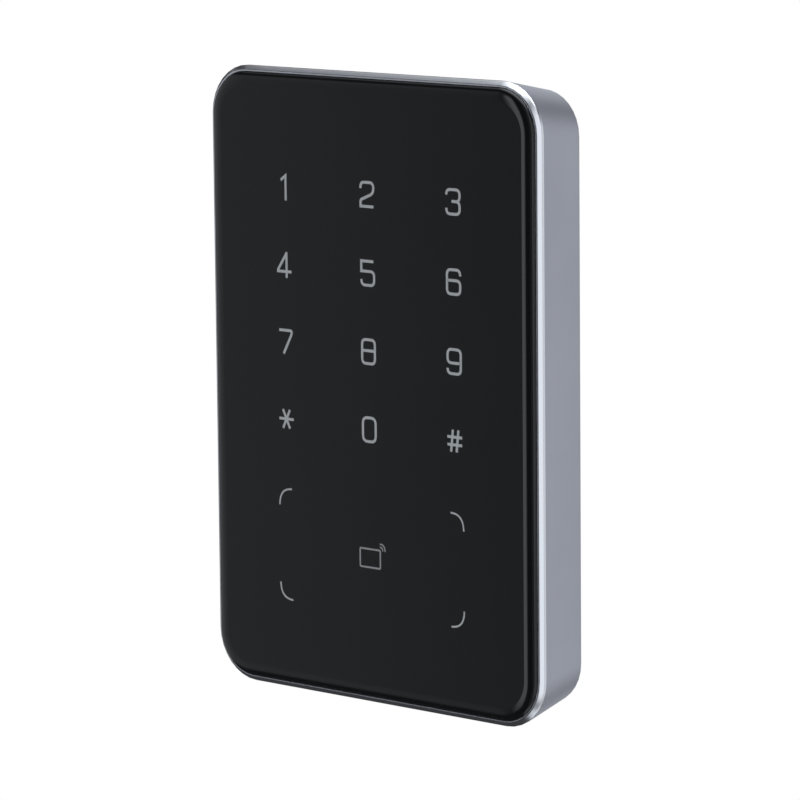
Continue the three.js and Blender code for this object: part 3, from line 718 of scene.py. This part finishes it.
# The inside, each with its width, height and corner radius where it has all three.
OPENING = (74.5, 100.0, 4.0)
RECESS = (77.5, 114.5, 7.0)
BACK_LINE_W = 79.4  # a line on the back face, where the screw's seat ends
BACK_LINE_H = 116.2
SEAT_LINE_H = 117.2
BACK_LINE_R = 7.8
POCKET_W = 76.0
POCKET_R = 5.0
LEDGE_Y = -13.0
SHELF_Y = -4.2

# The pockets for the hooks, at the top, and for the tab, at the foot: places across and up.
HOOK_POCKET = (15.5, 28.5)
HOOK_POCKET_FOOT = 52.0
TAB_POCKET = 7.5
TAB_POCKET_TOP = -50.5
POCKET_FLOOR = {"hook": -6.4, "tab": -8.2}

# The clamping screw's seat and, inside it, the notch for its shank.
SEAT_R = 3.1
SEAT_STEPS = 5
NOTCH_R = 2.1
NOTCH_STEPS = 15


def frame_stations():
    """Where the frame's section is placed, anticlockwise from the right-hand side.

    Returns arrays over the stations: the number of the corner, from 0 at the upper right; the
    angle there; 1 on the straight runs of the top and bottom; the x there; and the feature that
    the section passes through.
    """
    rows = []

    def corner(number):
        angles = np.radians(90 * number + np.linspace(0, 90, ARC))
        rows.extend((number, a, 0, 0.0, "plain") for a in angles)

    def run(number, places):
        rows.extend((number, math.radians(90 * number), 1, x, kind) for x, kind in places)

    near, far = HOOK_POCKET
    pocket = [(far, "plain"), (far, "hook"), (near, "hook"), (near, "plain")]
    seat = SEAT_R * np.cos(np.linspace(0, math.acos(NOTCH_R / SEAT_R), SEAT_STEPS))
    notch = NOTCH_R * np.cos(np.linspace(math.pi, 0, NOTCH_STEPS))
    left = [(-TAB_POCKET, "plain"), (-TAB_POCKET, "tab"), (-SEAT_R, "tab")]
    left += [(-x, "seat") for x in seat]
    middle = [(x, "notch") for x in notch]
    right = [(-x, kind) for x, kind in left[::-1]]
    corner(0)
    run(1, pocket + [(-x, kind) for x, kind in pocket[::-1]])
    corner(1)
    corner(2)
    run(3, left + middle + right)
    corner(3)
    return [np.array(column) for column in zip(*rows)]


def metal_frame():
    """The frame's closed section carried round a rounded rectangle.

    A station's point on a row of width w, height h and radius r is
    (+-(w/2 - r) + r cos a, y, +-(h/2 - r) + r sin a), or (x, y, +-h/2) on a straight run.
    """
    quarter, turn, straight, across, kind = frame_stations()
    side_x = np.where(np.isin(quarter, (0, 3)), 1, -1)
    side_z = np.where(np.isin(quarter, (0, 1)), 1, -1)

    def is_kind(*names):
        return np.isin(kind, names)

    def row(width, height, radius, y):
        columns = np.broadcast_arrays(width, height, radius, y, across)[:4]
        return np.stack(columns, 1).astype(float)

    def side(y):
        """The outside at depth y, between the rim and the back."""
        k = (y - RIM_Y) / (BACK_Y - RIM_Y)
        inset = 2 * BACK_INSET * k
        return row(RIM_W - inset, RIM_H - inset, RIM_R + (BACK_R - RIM_R) * k, y)

    def rim(inset, y):
        """The rim's outline drawn in by inset, at depth y."""
        return row(RIM_W - 2 * inset, RIM_H - 2 * inset, RIM_R - inset, y)

    def dip(radius):
        """The front of a round hollow of that radius about the screw."""
        return SCREW_Y - np.sqrt(np.maximum(radius**2 - across**2, 0))

    in_seat = is_kind("seat", "notch")
    by_seat = in_seat | (is_kind("tab") & (abs(across) < SEAT_R + 0.01))
    seat_y = np.where(in_seat, dip(SEAT_R), SCREW_Y)
    edge_y = np.where(in_seat, seat_y, BACK_Y)
    notch_y = np.where(is_kind("notch"), dip(NOTCH_R), BACK_Y)
    middle_y = np.minimum(np.where(by_seat, SCREW_Y, SHELF_Y), notch_y)
    pocket_y = np.where(is_kind("hook"), POCKET_FLOOR["hook"], SHELF_Y)
    pocket_y = np.where(is_kind("tab", "seat", "notch"), POCKET_FLOOR["tab"], pocket_y)
    line_h = np.where(by_seat, SEAT_LINE_H, BACK_LINE_H)
    pocket_h = np.where(side_z > 0, 2 * HOOK_POCKET_FOOT, -2 * TAB_POCKET_TOP)
    # Each row of the section, and the fillet of its corner.
    section = [
        (row(*OPENING, LEDGE_Y), 0),
        (rim(CHAMFER + LIP, LEDGE_Y), 0.3),
        (rim(CHAMFER + LIP, LIP_Y), 0.04),
        (rim(CHAMFER, LIP_Y + LIP_FALL), 0.12),
        (rim(0, RIM_Y), 0.3),
        (side(seat_y), 0),
        (side(edge_y), 0.35),
        (row(BACK_LINE_W, line_h, BACK_LINE_R, edge_y), 0),
        (row(BACK_LINE_W, line_h, BACK_LINE_R, notch_y), 0),
        (row(*RECESS, notch_y), 0.2),
        (row(*RECESS, middle_y), 0),
        (row(*RECESS, pocket_y), 0.3),
        (row(POCKET_W, pocket_h, POCKET_R, pocket_y), 0),
        (row(POCKET_W, pocket_h, POCKET_R, SHELF_Y), 0),
        (row(*OPENING, SHELF_Y), 0.2),
    ]
    rows, fillets = zip(*section)
    rows, corner = rounded(np.array(rows), fillets)
    width, height, radius, y = np.moveaxis(rows, 2, 0)
    x = np.where(straight, across, side_x * (width / 2 - radius) + radius * np.cos(turn))
    z = side_z * (height / 2 - radius) + radius * np.sin(turn)
    # The chamfer is cut bright, from the lip's outer corner, number 3, to the rim's, number 4.
    polished = (corner > 2.55) & (corner < 4.3)
    shell = Shell()
    shell.grid(np.stack([x, y, z], -1), loop=True, paint=polished.astype(int))
    mesh = shell.mesh("metal_frame_fine")
    paints = [blasted_metal, polished_metal]
    add_piece("cast_frame", mesh, paints, "reader", ["metal_frame"])


# ---------------------------------------------------------------- front glass

GLASS_R = 8.6
GLASS_ARC = 25  # points in a quarter turn of its corners
EDGE_IN = 2.6
EDGE_DROP = 1.0
EDGE_BEVEL = 0.2
EDGE_POWER = 3.2
EDGE_STEPS = 26
GROUND = [(0.0, 2.75), (0.08, 2.92), (0.25, 3.0)]  # in from the outline, and back from the face


def front_glass():
    """The glass: a flat face, an edge that rolls over from a crisp line, and a ground back edge.

    Where u runs from 0 at that line to 1 at the outline, the edge has dropped by
    EDGE_DROP (EDGE_BEVEL u + (1 - EDGE_BEVEL) (1 - sqrt(1 - u^EDGE_POWER))).
    """
    width, height = GLASS_HIGH[0] - GLASS_LOW[0], GLASS_HIGH[2] - GLASS_LOW[2]
    u = np.sin(np.linspace(0, math.pi / 2, EDGE_STEPS))
    roll = 1 - np.sqrt(1 - u**EDGE_POWER)
    drop = EDGE_DROP * (EDGE_BEVEL * u + (1 - EDGE_BEVEL) * roll)
    rings = []
    for inset, back in [*zip(EDGE_IN * (1 - u), drop), *GROUND]:
        corners = rect(width - 2 * inset, height - 2 * inset, GLASS_R - inset)
        rings.append(upright(outline(corners, arc=GLASS_ARC), GLASS_Y + back))
    shell = Shell()
    shell.capped(rings)
    mesh = shell.mesh("front_glass_fine")
    add_piece("touch_glass", mesh, [black_glass], "reader", ["front_glass"], 12)


# ---------------------------------------------------------------- printed symbols

KEY_PITCH_X = 22.1
KEY_PITCH_Z = 15.2
TOP_ROW_Z = 38.2
GLYPH_W = 3.9
GLYPH_H = 5.2
STROKE = 0.56

INK_PROUD = 0.01  # how far the ink stands out of the glass
INK_LAYER = 0.004  # and each further layer of it
INK_DEPTH = 0.02  # how far it reaches into the glass
LONGEST_MITRE = 2.0

# The quarter arcs at the corners of the card area.
MARK_X = 24.2
MARK_TOP = -21.3
MARK_FOOT = -43.4
MARK_R = 3.3
MARK_STROKE = 0.36

# The card in the middle of that area, and its two waves.
CARD_W = 5.3
CARD_H = 3.6
CARD_X = -0.1
CARD_Z = -32.6
CARD_R = 0.3
WAVES = (0.65, 1.25)
WAVE_START = -0.1
WAVE_STROKE = 0.3


def stroke(shell, points, radius, width=STROKE, closed=False, steps=6, layer=0):
    """A line of even width with rounded corners, as a thin closed ribbon on the glass.

    Each inner corner P becomes the curve (1-t)^2 (P + r u) + 2t(1-t) P + t^2 (P + r v), with u and
    v the directions to its neighbours; r is one radius or one for each point, and at most half a
    side, or a whole one that ends the line. With r = 0 the corner stays sharp, with a mitre of at
    most LONGEST_MITRE times the width. The ribbon's sides lie half the width to either side, and
    each layer lies a little higher.
    """
    p = np.array(points, float)
    radii = np.broadcast_to(radius, len(p))
    t = np.linspace(0, 1, steps)[:, None]
    before, after = np.roll(p, 1, 0), np.roll(p, -1, 0)
    line = []
    for i, here in enumerate(p):
        if radii[i] == 0 or (not closed and i in (0, len(p) - 1)):
            line.append(here[None])
            continue
        ends = []
        for there, last in ((before[i], i == 1), (after[i], i == len(p) - 2)):
            length = np.linalg.norm(there - here)
            share = 1.0 if last and not closed else 0.5
            ends.append(here + (there - here) * min(radii[i] / length, share))
        line.append((1 - t) ** 2 * ends[0] + 2 * t * (1 - t) * here + t**2 * ends[1])
    line = np.concatenate(line)
    if closed:
        line = np.vstack([line, line[:1]])
    keep = np.r_[True, np.linalg.norm(np.diff(line, axis=0), axis=1) > 1e-6]
    line = line[keep]
    step = np.diff(line, axis=0)
    step /= np.linalg.norm(step, axis=1, keepdims=True)
    arrive, leave = np.vstack([step[:1], step]), np.vstack([step, step[-1:]])
    if closed:
        arrive[0], leave[-1] = step[-1], step[0]
    tangent = arrive + leave
    tangent /= np.linalg.norm(tangent, axis=1, keepdims=True)
    mitre = 1 / np.maximum((tangent * leave).sum(1, keepdims=True), 1 / LONGEST_MITRE)
    normal = np.stack([-tangent[:, 1], tangent[:, 0]], 1) * mitre * width / 2
    one, two = line + normal, line - normal
    front, back = GLASS_Y - INK_PROUD - INK_LAYER * layer, GLASS_Y + INK_DEPTH
    sides = [(one, front), (two, front), (two, back), (one, back)]
    ring = np.stack([upright(side, y) for side, y in sides], 1)
    if closed:
        shell.grid(ring[:-1], loop=True)
    else:
        shell.capped(ring)


# Each symbol's lines in a box from 0 to 1 across and up, each with its corners' radius in
# millimetres. A line that ends where it starts is a closed loop.
GLYPHS = {
    "1": [([(0.28, 0.8), (0.66, 1), (0.66, -0.05)], 0)],
    "2": [
        (
            [(0, 0.74), (0, 1), (1, 1), (1, 0.56), (0, 0.26), (0, 0), (1, 0)],
            (0, 1, 1, 0.9, 0.3, 0, 0),
        ),
    ],
    "3": [
        ([(0, 0.78), (0, 1), (1, 1), (1, 0.52), (0.4, 0.52)], 1),
        ([(0.4, 0.52), (1, 0.52), (1, 0), (0, 0), (0, 0.24)], 1),
    ],
    "4": [
        ([(0.66, -0.05), (0.66, 1.05)], 0),
        ([(0.64, 0.97), (-0.03, 0.28), (-0.03, 0.16)], 0),
        ([(-0.03, 0.22), (1.05, 0.22)], 0),
    ],
    "5": [
        (
            [(0.95, 1), (0, 1), (0, 0.58), (1, 0.58), (1, 0), (0, 0), (0, 0.24)],
            (0, 0, 0, 1, 1, 1, 0),
        ),
    ],
    "6": [([(1, 0.76), (1, 1), (0, 1), (0, 0), (1, 0), (1, 0.56), (0.04, 0.56)], 1)],
    "7": [([(0, 1), (1, 1), (1, 0.86), (0.34, 0)], 0.4)],
    "8": [
        ([(0, 0.54), (0, 1), (1, 1), (1, 0.54)], 1),
        ([(0, 0.54), (0, 0), (1, 0), (1, 0.54)], 1),
        ([(0, 0.54), (1, 0.54)], 0),
    ],
    "9": [([(0, 0.22), (0, 0), (1, 0), (1, 1), (0, 1), (0, 0.44), (0.96, 0.44)], 1)],
    "0": [([(0, 1), (0, 0), (1, 0), (1, 1), (0, 1)], 1.2)],
    "star": [
        ([(-0.08, 0.5), (1.08, 0.5)], 0),
        ([(0.22, 0.1), (0.78, 0.9)], 0),
        ([(0.22, 0.9), (0.78, 0.1)], 0),
    ],
    "hash": [
        ([(-0.06, 0.66), (1.06, 0.66)], 0),
        ([(-0.06, 0.34), (1.06, 0.34)], 0),
        ([(0.22, 0.04), (0.36, 0.96)], 0),
        ([(0.64, 0.04), (0.78, 0.96)], 0),
    ],
}
KEYS = [("1", "2", "3"), ("4", "5", "6"), ("7", "8", "9"), ("star", "0", "hash")]


def key_symbols():
    """The twelve keys' symbols, one piece each, printed on the glass."""
    glyph = np.array([GLYPH_W, GLYPH_H])
    for row, names in enumerate(KEYS):
        for column, name in enumerate(names):
            middle = np.array([(column - 1) * KEY_PITCH_X, TOP_ROW_Z - row * KEY_PITCH_Z])
            low = middle - glyph / 2 + STROKE / 2
            shell = Shell()
            for layer, (points, radius) in enumerate(GLYPHS[name]):
                closed = points[0] == points[-1]
                line = low + np.array(points[:-1] if closed else points) * (glyph - STROKE)
                stroke(shell, line, radius, closed=closed, layer=layer)
            mesh = shell.mesh("symbol")
            add_piece(f"key_symbol_{name}", mesh, [grey_ink], "reader")


def card_marks():
    """Four quarter arcs round the card area and, in its middle, a card with two waves."""
    arcs = Shell()
    for side in (-1, 1):
        for z, up in ((MARK_TOP, 1), (MARK_FOOT, -1)):
            x = side * MARK_X
            points = [(x, z - up * MARK_R), (x, z), (x - side * MARK_R, z)]
            stroke(arcs, points, MARK_R, width=MARK_STROKE, steps=14)
    add_piece("card_area_corners", arcs.mesh("arcs"), [grey_ink], "reader")
    card = Shell()
    corners = rect(CARD_W, CARD_H, CARD_R, CARD_X, CARD_Z)
    lower_right, top, upper_left, lower_left = (np.array(corner[:2]) for corner in corners)
    loop = [lower_left, lower_right, top, upper_left]
    stroke(card, loop, CARD_R, width=MARK_STROKE, closed=True)
    for reach in WAVES:
        points = top + np.array([(WAVE_START, reach), (reach, reach), (reach, WAVE_START)])
        stroke(card, points, reach, width=WAVE_STROKE, steps=10)
    add_piece("card_symbol", card.mesh("card"), [dim_ink], "reader")


# ---------------------------------------------------------------- wall plate and its edging

PLATE_FRONT = -1.5
PLATE_TOP = 55.3
PLATE_FOOT = -56.6
PLATE_R = 6.2
PLATE_FILLET = 0.28

# Holes that go through the plate, the cover or both: their middles, in x and z.
CABLE = (0.0, -17.0)
TAMPER = (22.0, 24.0)

CABLE_HOLE = (36.0, 24.0, 6.0)  # width, height and corner radius, as the next ones
SLOT = (9.0, 3.8, 1.89)
SLOT_X = 30.15
SLOT_Z = 41.65
TAMPER_HOLE_R = 2.3
FIXING_R = 1.9
FIXING_X = 28.0
FIXING_Z = 30.0

HOOK_W = 8.0
HOOK_T = 1.0
HOOK_EDGE_R = 0.32
HOOK_MIDDLE_R = 1.65
HOOK_TURN = 112.0
HOOK_STEPS = 16
HOOK_ROOT = (-0.2, -1.4)  # the depths at which its straight run starts inside the plate
HOOK_TIP = ((3.0, 0.9), (4.0, 0.6))  # degrees beyond the turn, and the section's size there
HOOK_TIP_WIDER = 0.08  # how much less it shrinks across

TAB_W = 12.0
TAB_FOOT = -57.0
TAB_T = 1.4
TAB_FRONT = -7.4
TAB_BACK = -0.4
TAB_R = 1.4
TAB_FILLET = 0.22
TAB_HOLE_R = 2.05

# The edging's closed section: width, height, corner radius, y and the corner's fillet.
EDGING = [
    (38.2, 26.2, 7.0, -2.05, 0.25),
    (38.2, 26.2, 7.0, -1.55, 0.2),
    (35.8, 23.8, 5.9, -1.55, 0.05),
    (35.8, 23.8, 5.9, -0.1, 0.2),
    (33.0, 21.0, 4.6, -0.1, 0.25),
    (33.0, 21.0, 4.6, -2.05, 0.3),
]


def hook(shell, x):
    """A strip out of the plate that curls round the hinge.

    After a straight run from the plate, its section follows the line hinge + R (-sin a, -cos a)
    in y and z, and it shrinks at the tip.
    """
    section = outline(rect(HOOK_W, HOOK_T, HOOK_EDGE_R), arc=4)
    places = [(0.0, y - HINGE_Y, 1.0) for y in HOOK_ROOT]
    places += [(turn, 0.0, 1.0) for turn in np.linspace(0, HOOK_TURN, HOOK_STEPS)]
    places += [(HOOK_TURN + more, 0.0, size) for more, size in HOOK_TIP]
    rings = []
    for turn, run, size in places:
        a = math.radians(turn)
        across = x + section[:, 0] * min(1, size + HOOK_TIP_WIDER)
        reach = HOOK_MIDDLE_R + section[:, 1] * size
        y = HINGE_Y + run - reach * math.sin(a)
        rings.append(np.stack([across, y, HINGE_Z - reach * math.cos(a)], 1))
    shell.capped(rings)


def wall_plate():
    """The pressed plate on the wall: slots, cable opening, two hooks and the clamping tab."""
    middle = (PLATE_FOOT + PLATE_TOP) / 2
    width = PLATE_HIGH[0] - PLATE_LOW[0]
    outer = rect(width, PLATE_TOP - PLATE_FOOT, PLATE_R, 0, middle)
    length, breadth, slot_r = SLOT
    holes = [rect(*CABLE_HOLE, *CABLE), circle(TAMPER_HOLE_R, *TAMPER)]
    holes += [rect(breadth, length, slot_r, x, 0) for x in (-SLOT_X, SLOT_X)]
    holes += [rect(length, breadth, slot_r, 0, z) for z in (-SLOT_Z, SLOT_Z)]
    for x in (-FIXING_X, FIXING_X):
        holes += [circle(FIXING_R, x, z) for z in (-FIXING_Z, FIXING_Z)]
    shell = Shell()
    panel(shell, outer, holes, PLATE_FRONT, 0.0, PLATE_FILLET)
    for x in (-HOOK_X, HOOK_X):
        hook(shell, x)
    # The tab is a small panel too, laid level: its depth runs upwards and its height towards +Y.
    level = Shell()
    lug = rect(TAB_W, TAB_BACK - TAB_FRONT, TAB_R, 0, (TAB_FRONT + TAB_BACK) / 2)
    tab_top = TAB_FOOT + TAB_T
    panel(level, lug, [circle(TAB_HOLE_R, 0, SCREW_Y)], TAB_FOOT, tab_top, TAB_FILLET)
    shell.add_turned(level)
    mesh = shell.mesh("plate", [(1, PLATE_FRONT), (1, 0.0), (2, TAB_FOOT), (2, tab_top)])
    body, slot = "wall_bracket", "plate_steel"
    add_piece("pressed_wall_plate", mesh, [zinc_steel], body, ["wall_plate"])


def cable_grommet():
    """Rubber edging: an L-shaped section round the cable opening."""
    section = np.array(EDGING)
    rows = rounded(section[:, None, :4], section[:, 4])[0]
    rings = [upright(outline(rect(w, h, r, *CABLE)), y) for w, h, r, y in rows[:, 0]]
    shell = Shell()
    shell.grid(rings, loop=True)
    mesh = shell.mesh("grommet")
    body, slot = "wall_bracket", "seal_rubber"
    add_piece("cable_edging", mesh, [grey_rubber], body, ["cable_grommet"])


# ---------------------------------------------------------------- rear cover and small parts

COVER_X = 38.5  # half its width and half its height
COVER_Z = 57.0
COVER_R = 6.8
COVER_FRONT = -3.6
COVER_BACK = -2.2
COVER_FILLET = 0.22
NICK_R = 0.5  # the corners of the windows in its outline
HOOK_WINDOW = (16.0, 28.0, 52.8)  # from and to, across, and the foot
TAB_WINDOW = (7.2, -50.45)  # half its width, and the top

VENT = (-22.0, 24.0)
SOUNDER = (-22.0, -2.0)
TERMINAL_WINDOW = (22.32, 9.4, 0.4)
BUTTON_HOLE_R = 1.85
VENT_HOLE_R = 3.15
COVER_SCREW_R = 2.42
COVER_SCREW_X = 33.0
COVER_SCREW_Z = 53.8
SOUND_HOLE_R = 0.6
SOUND_HOLE_PITCH = 2.4

RIB = (50.0, 1.0, 0.45)
RIB_Z = 34.0
RIB_SUNK = 0.25
RIB_PROUD = 0.35
RIB_FILLET = 0.2

BAR_HALF = 6.6
BAR_R = 0.9
BAR_EASE = 0.1
BAR_TIP = (0.01, 0.88)  # shares of the radius at the middle and at the edge of each end
BAR_SIDES = 28


def hinge_bar(shell, x):
    """A round bar along X with eased ends: at each station (x + h, y + r cos a, z + r sin a)."""
    near_end = BAR_HALF - BAR_EASE
    along = [-BAR_HALF, -BAR_HALF, -near_end, near_end, BAR_HALF, BAR_HALF]
    reach = BAR_R * np.array([*BAR_TIP, 1, 1, *BAR_TIP[::-1]])
    angle = np.linspace(0, 2 * math.pi, BAR_SIDES, endpoint=False)
    rings = []
    for h, r in zip(along, reach):
        y, z = HINGE_Y + r * np.cos(angle), HINGE_Z + r * np.sin(angle)
        rings.append(np.stack([np.full(BAR_SIDES, x + h), y, z], 1))
    shell.capped(rings)


def rear_cover():
    """The moulded cover: windows for the hooks and the tab, vents, ribs and two hinge bars."""
    near, far, foot = HOOK_WINDOW
    tab_x, tab_top = TAB_WINDOW
    right = [(far, COVER_Z), (far, foot), (near, foot), (near, COVER_Z)]
    left = [(-x, z) for x, z in right[::-1]]
    tab = [(-tab_x, -COVER_Z), (-tab_x, tab_top), (tab_x, tab_top), (tab_x, -COVER_Z)]
    corners = [(COVER_X, -COVER_Z, COVER_R), (COVER_X, COVER_Z, COVER_R)]
    corners += [(x, z, NICK_R) for x, z in right + left]
    corners += [(-COVER_X, COVER_Z, COVER_R), (-COVER_X, -COVER_Z, COVER_R)]
    corners += [(x, z, NICK_R) for x, z in tab]
    holes = [rect(*TERMINAL_WINDOW, *CABLE)]
    holes += [circle(BUTTON_HOLE_R, *TAMPER), circle(VENT_HOLE_R, *VENT)]
    for x in (-COVER_SCREW_X, COVER_SCREW_X):
        holes += [circle(COVER_SCREW_R, x, z) for z in (-COVER_SCREW_Z, COVER_SCREW_Z)]
    for x, z in [(0, 0), (1, 0), (-1, 0), (0, 1), (0, -1)]:
        x, z = SOUNDER[0] + x * SOUND_HOLE_PITCH, SOUNDER[1] + z * SOUND_HOLE_PITCH
        holes.append(circle(SOUND_HOLE_R, x, z))
    shell = Shell()
    panel(shell, corners, holes, COVER_FRONT, COVER_BACK, COVER_FILLET)
    rib_front, rib_back = COVER_BACK - RIB_SUNK, COVER_BACK + RIB_PROUD
    for z in (-RIB_Z, RIB_Z):
        panel(shell, rect(*RIB, 0, z), [], rib_front, rib_back, RIB_FILLET)
    for x in (-HOOK_X, HOOK_X):
        hinge_bar(shell, x)
    mesh = shell.mesh("cover", [(1, y) for y in (COVER_FRONT, COVER_BACK, rib_front, rib_back)])
    name, slot = "moulded_rear_cover", "black_plastic"
    add_piece(name, mesh, [black_plastic], "reader", ["rear_cover"])


def small_parts():
    """Turned, pressed and moulded small parts: the CAD nodes' own shapes with softened edges."""
    softened("security_screw", "clamping_screw", "security_screw", "screw_steel", 0.12)
    softened("tamper_plunger", "tamper_button", "tamper_plunger", "black_plastic", 0.15)
    softened("press_nut", "fixing_nut", "wall_bracket", "screw_steel", 0.15)
    softened("terminal_block", "wire_terminals", "reader", "terminal_green", 0.1)
    for i in range(1, 5):
        softened(f"cover_screw_{i}", f"cover_fixing_{i}", "reader", "screw_steel", 0.06)


# ---------------------------------------------------------------- light and floor

FLOOR_Z = -350.0
FLOOR_REACH = 3.0  # metres, as the fade
FLOOR_FADE = (0.55, 1.0)
FLOOR_GLOW = 0.42

# Soft boxes round the object, in degrees: from and to round it (0 is the front, 90 the right),
# the width of that soft edge, from and to above the horizon, the width of that one, strength.
SOFT_BOXES = [
    (-94, -41, 8, -27, 26, 6, 0.375),
    (-88, -60, 6, -20, 8, 6, 0.15),
    (-36, -27, 3, -22, 20, 8, 1.35),
    (3, 40, 6, -50, 50, 14, 0.16),
    (30, 58, 7, -44, 50, 14, 0.86),
    (62, 168, 10, -50, 24, 18, 0.67),
    (0, 150, 20, -95, -56, 10, 0.85),
    (-172, -138, 6, -50, 30, 14, 0.55),
    (-200, 200, 1, 55, 100, 16, 2.6),
]
AMBIENT = 0.045  # the strength between them
TINT = (0.90, 0.95, 1.0, 1.0)


def studio():
    """White surroundings for the camera and, for the light, soft boxes in set directions."""
    world = bpy.data.worlds.new("studio")
    SCENE.world = world
    p = Paint(world)
    x, y, z = p.axes(p.node("ShaderNodeTexCoord"))
    round_it = p.node("ShaderNodeMath", {"operation": "ARCTAN2"}, {0: x, 1: y * -1.0})
    round_it = round_it * math.degrees(1)
    above = p.node("ShaderNodeMath", {"operation": "ARCSINE"}, {0: z}) * math.degrees(1)

    def window(value, low, high, soft):
        """1 between low and high, with soft edges."""
        rise = p.band(value, low - soft, low + soft)
        return rise * (1 - p.band(value, high - soft, high + soft))

    light = AMBIENT
    for left, right, side_soft, low, high, soft, strength in SOFT_BOXES:
        box = window(round_it, left, right, side_soft) * window(above, low, high, soft)
        light = box * strength + light
    for_light = p.node("ShaderNodeBackground", inputs={"Color": TINT, "Strength": light})
    for_camera = p.node("ShaderNodeBackground", inputs={"Color": (1, 1, 1, 1), "Strength": 1.0})
    seen = p.node("ShaderNodeLightPath")
    mixed = p.node("ShaderNodeMixShader", inputs={0: seen, 1: for_light, 2: for_camera})
    p.node("ShaderNodeOutputWorld", inputs={"Surface": mixed})


def floor():
    """A pale floor well below the object, kept out of its reflections."""
    corner = FLOOR_REACH * np.array([(-1, -1), (1, -1), (1, 1), (-1, 1)])
    mesh = bpy.data.meshes.new("floor")
    mesh.from_pydata(np.insert(corner, 2, FLOOR_Z * MM, axis=1).tolist(), [], [(0, 1, 2, 3)])
    mesh.materials.append(studio_floor())
    made = bpy.data.objects.new("floor", mesh)
    made.visible_glossy = False
    SCENE.collection.objects.link(made)


# ---------------------------------------------------------------- assembly


def paint_cad_nodes():
    """Every CAD node gets the finish of its slot."""
    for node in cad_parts.values():
        node.data.materials[0] = SLOT_FINISHES[node.data.materials[0].name]()


place_camera()
SCENE.view_settings.view_transform = "Standard"
studio()
floor()
paint_cad_nodes()
metal_frame()
front_glass()
key_symbols()
card_marks()
rear_cover()
wall_plate()
cable_grommet()
small_parts()
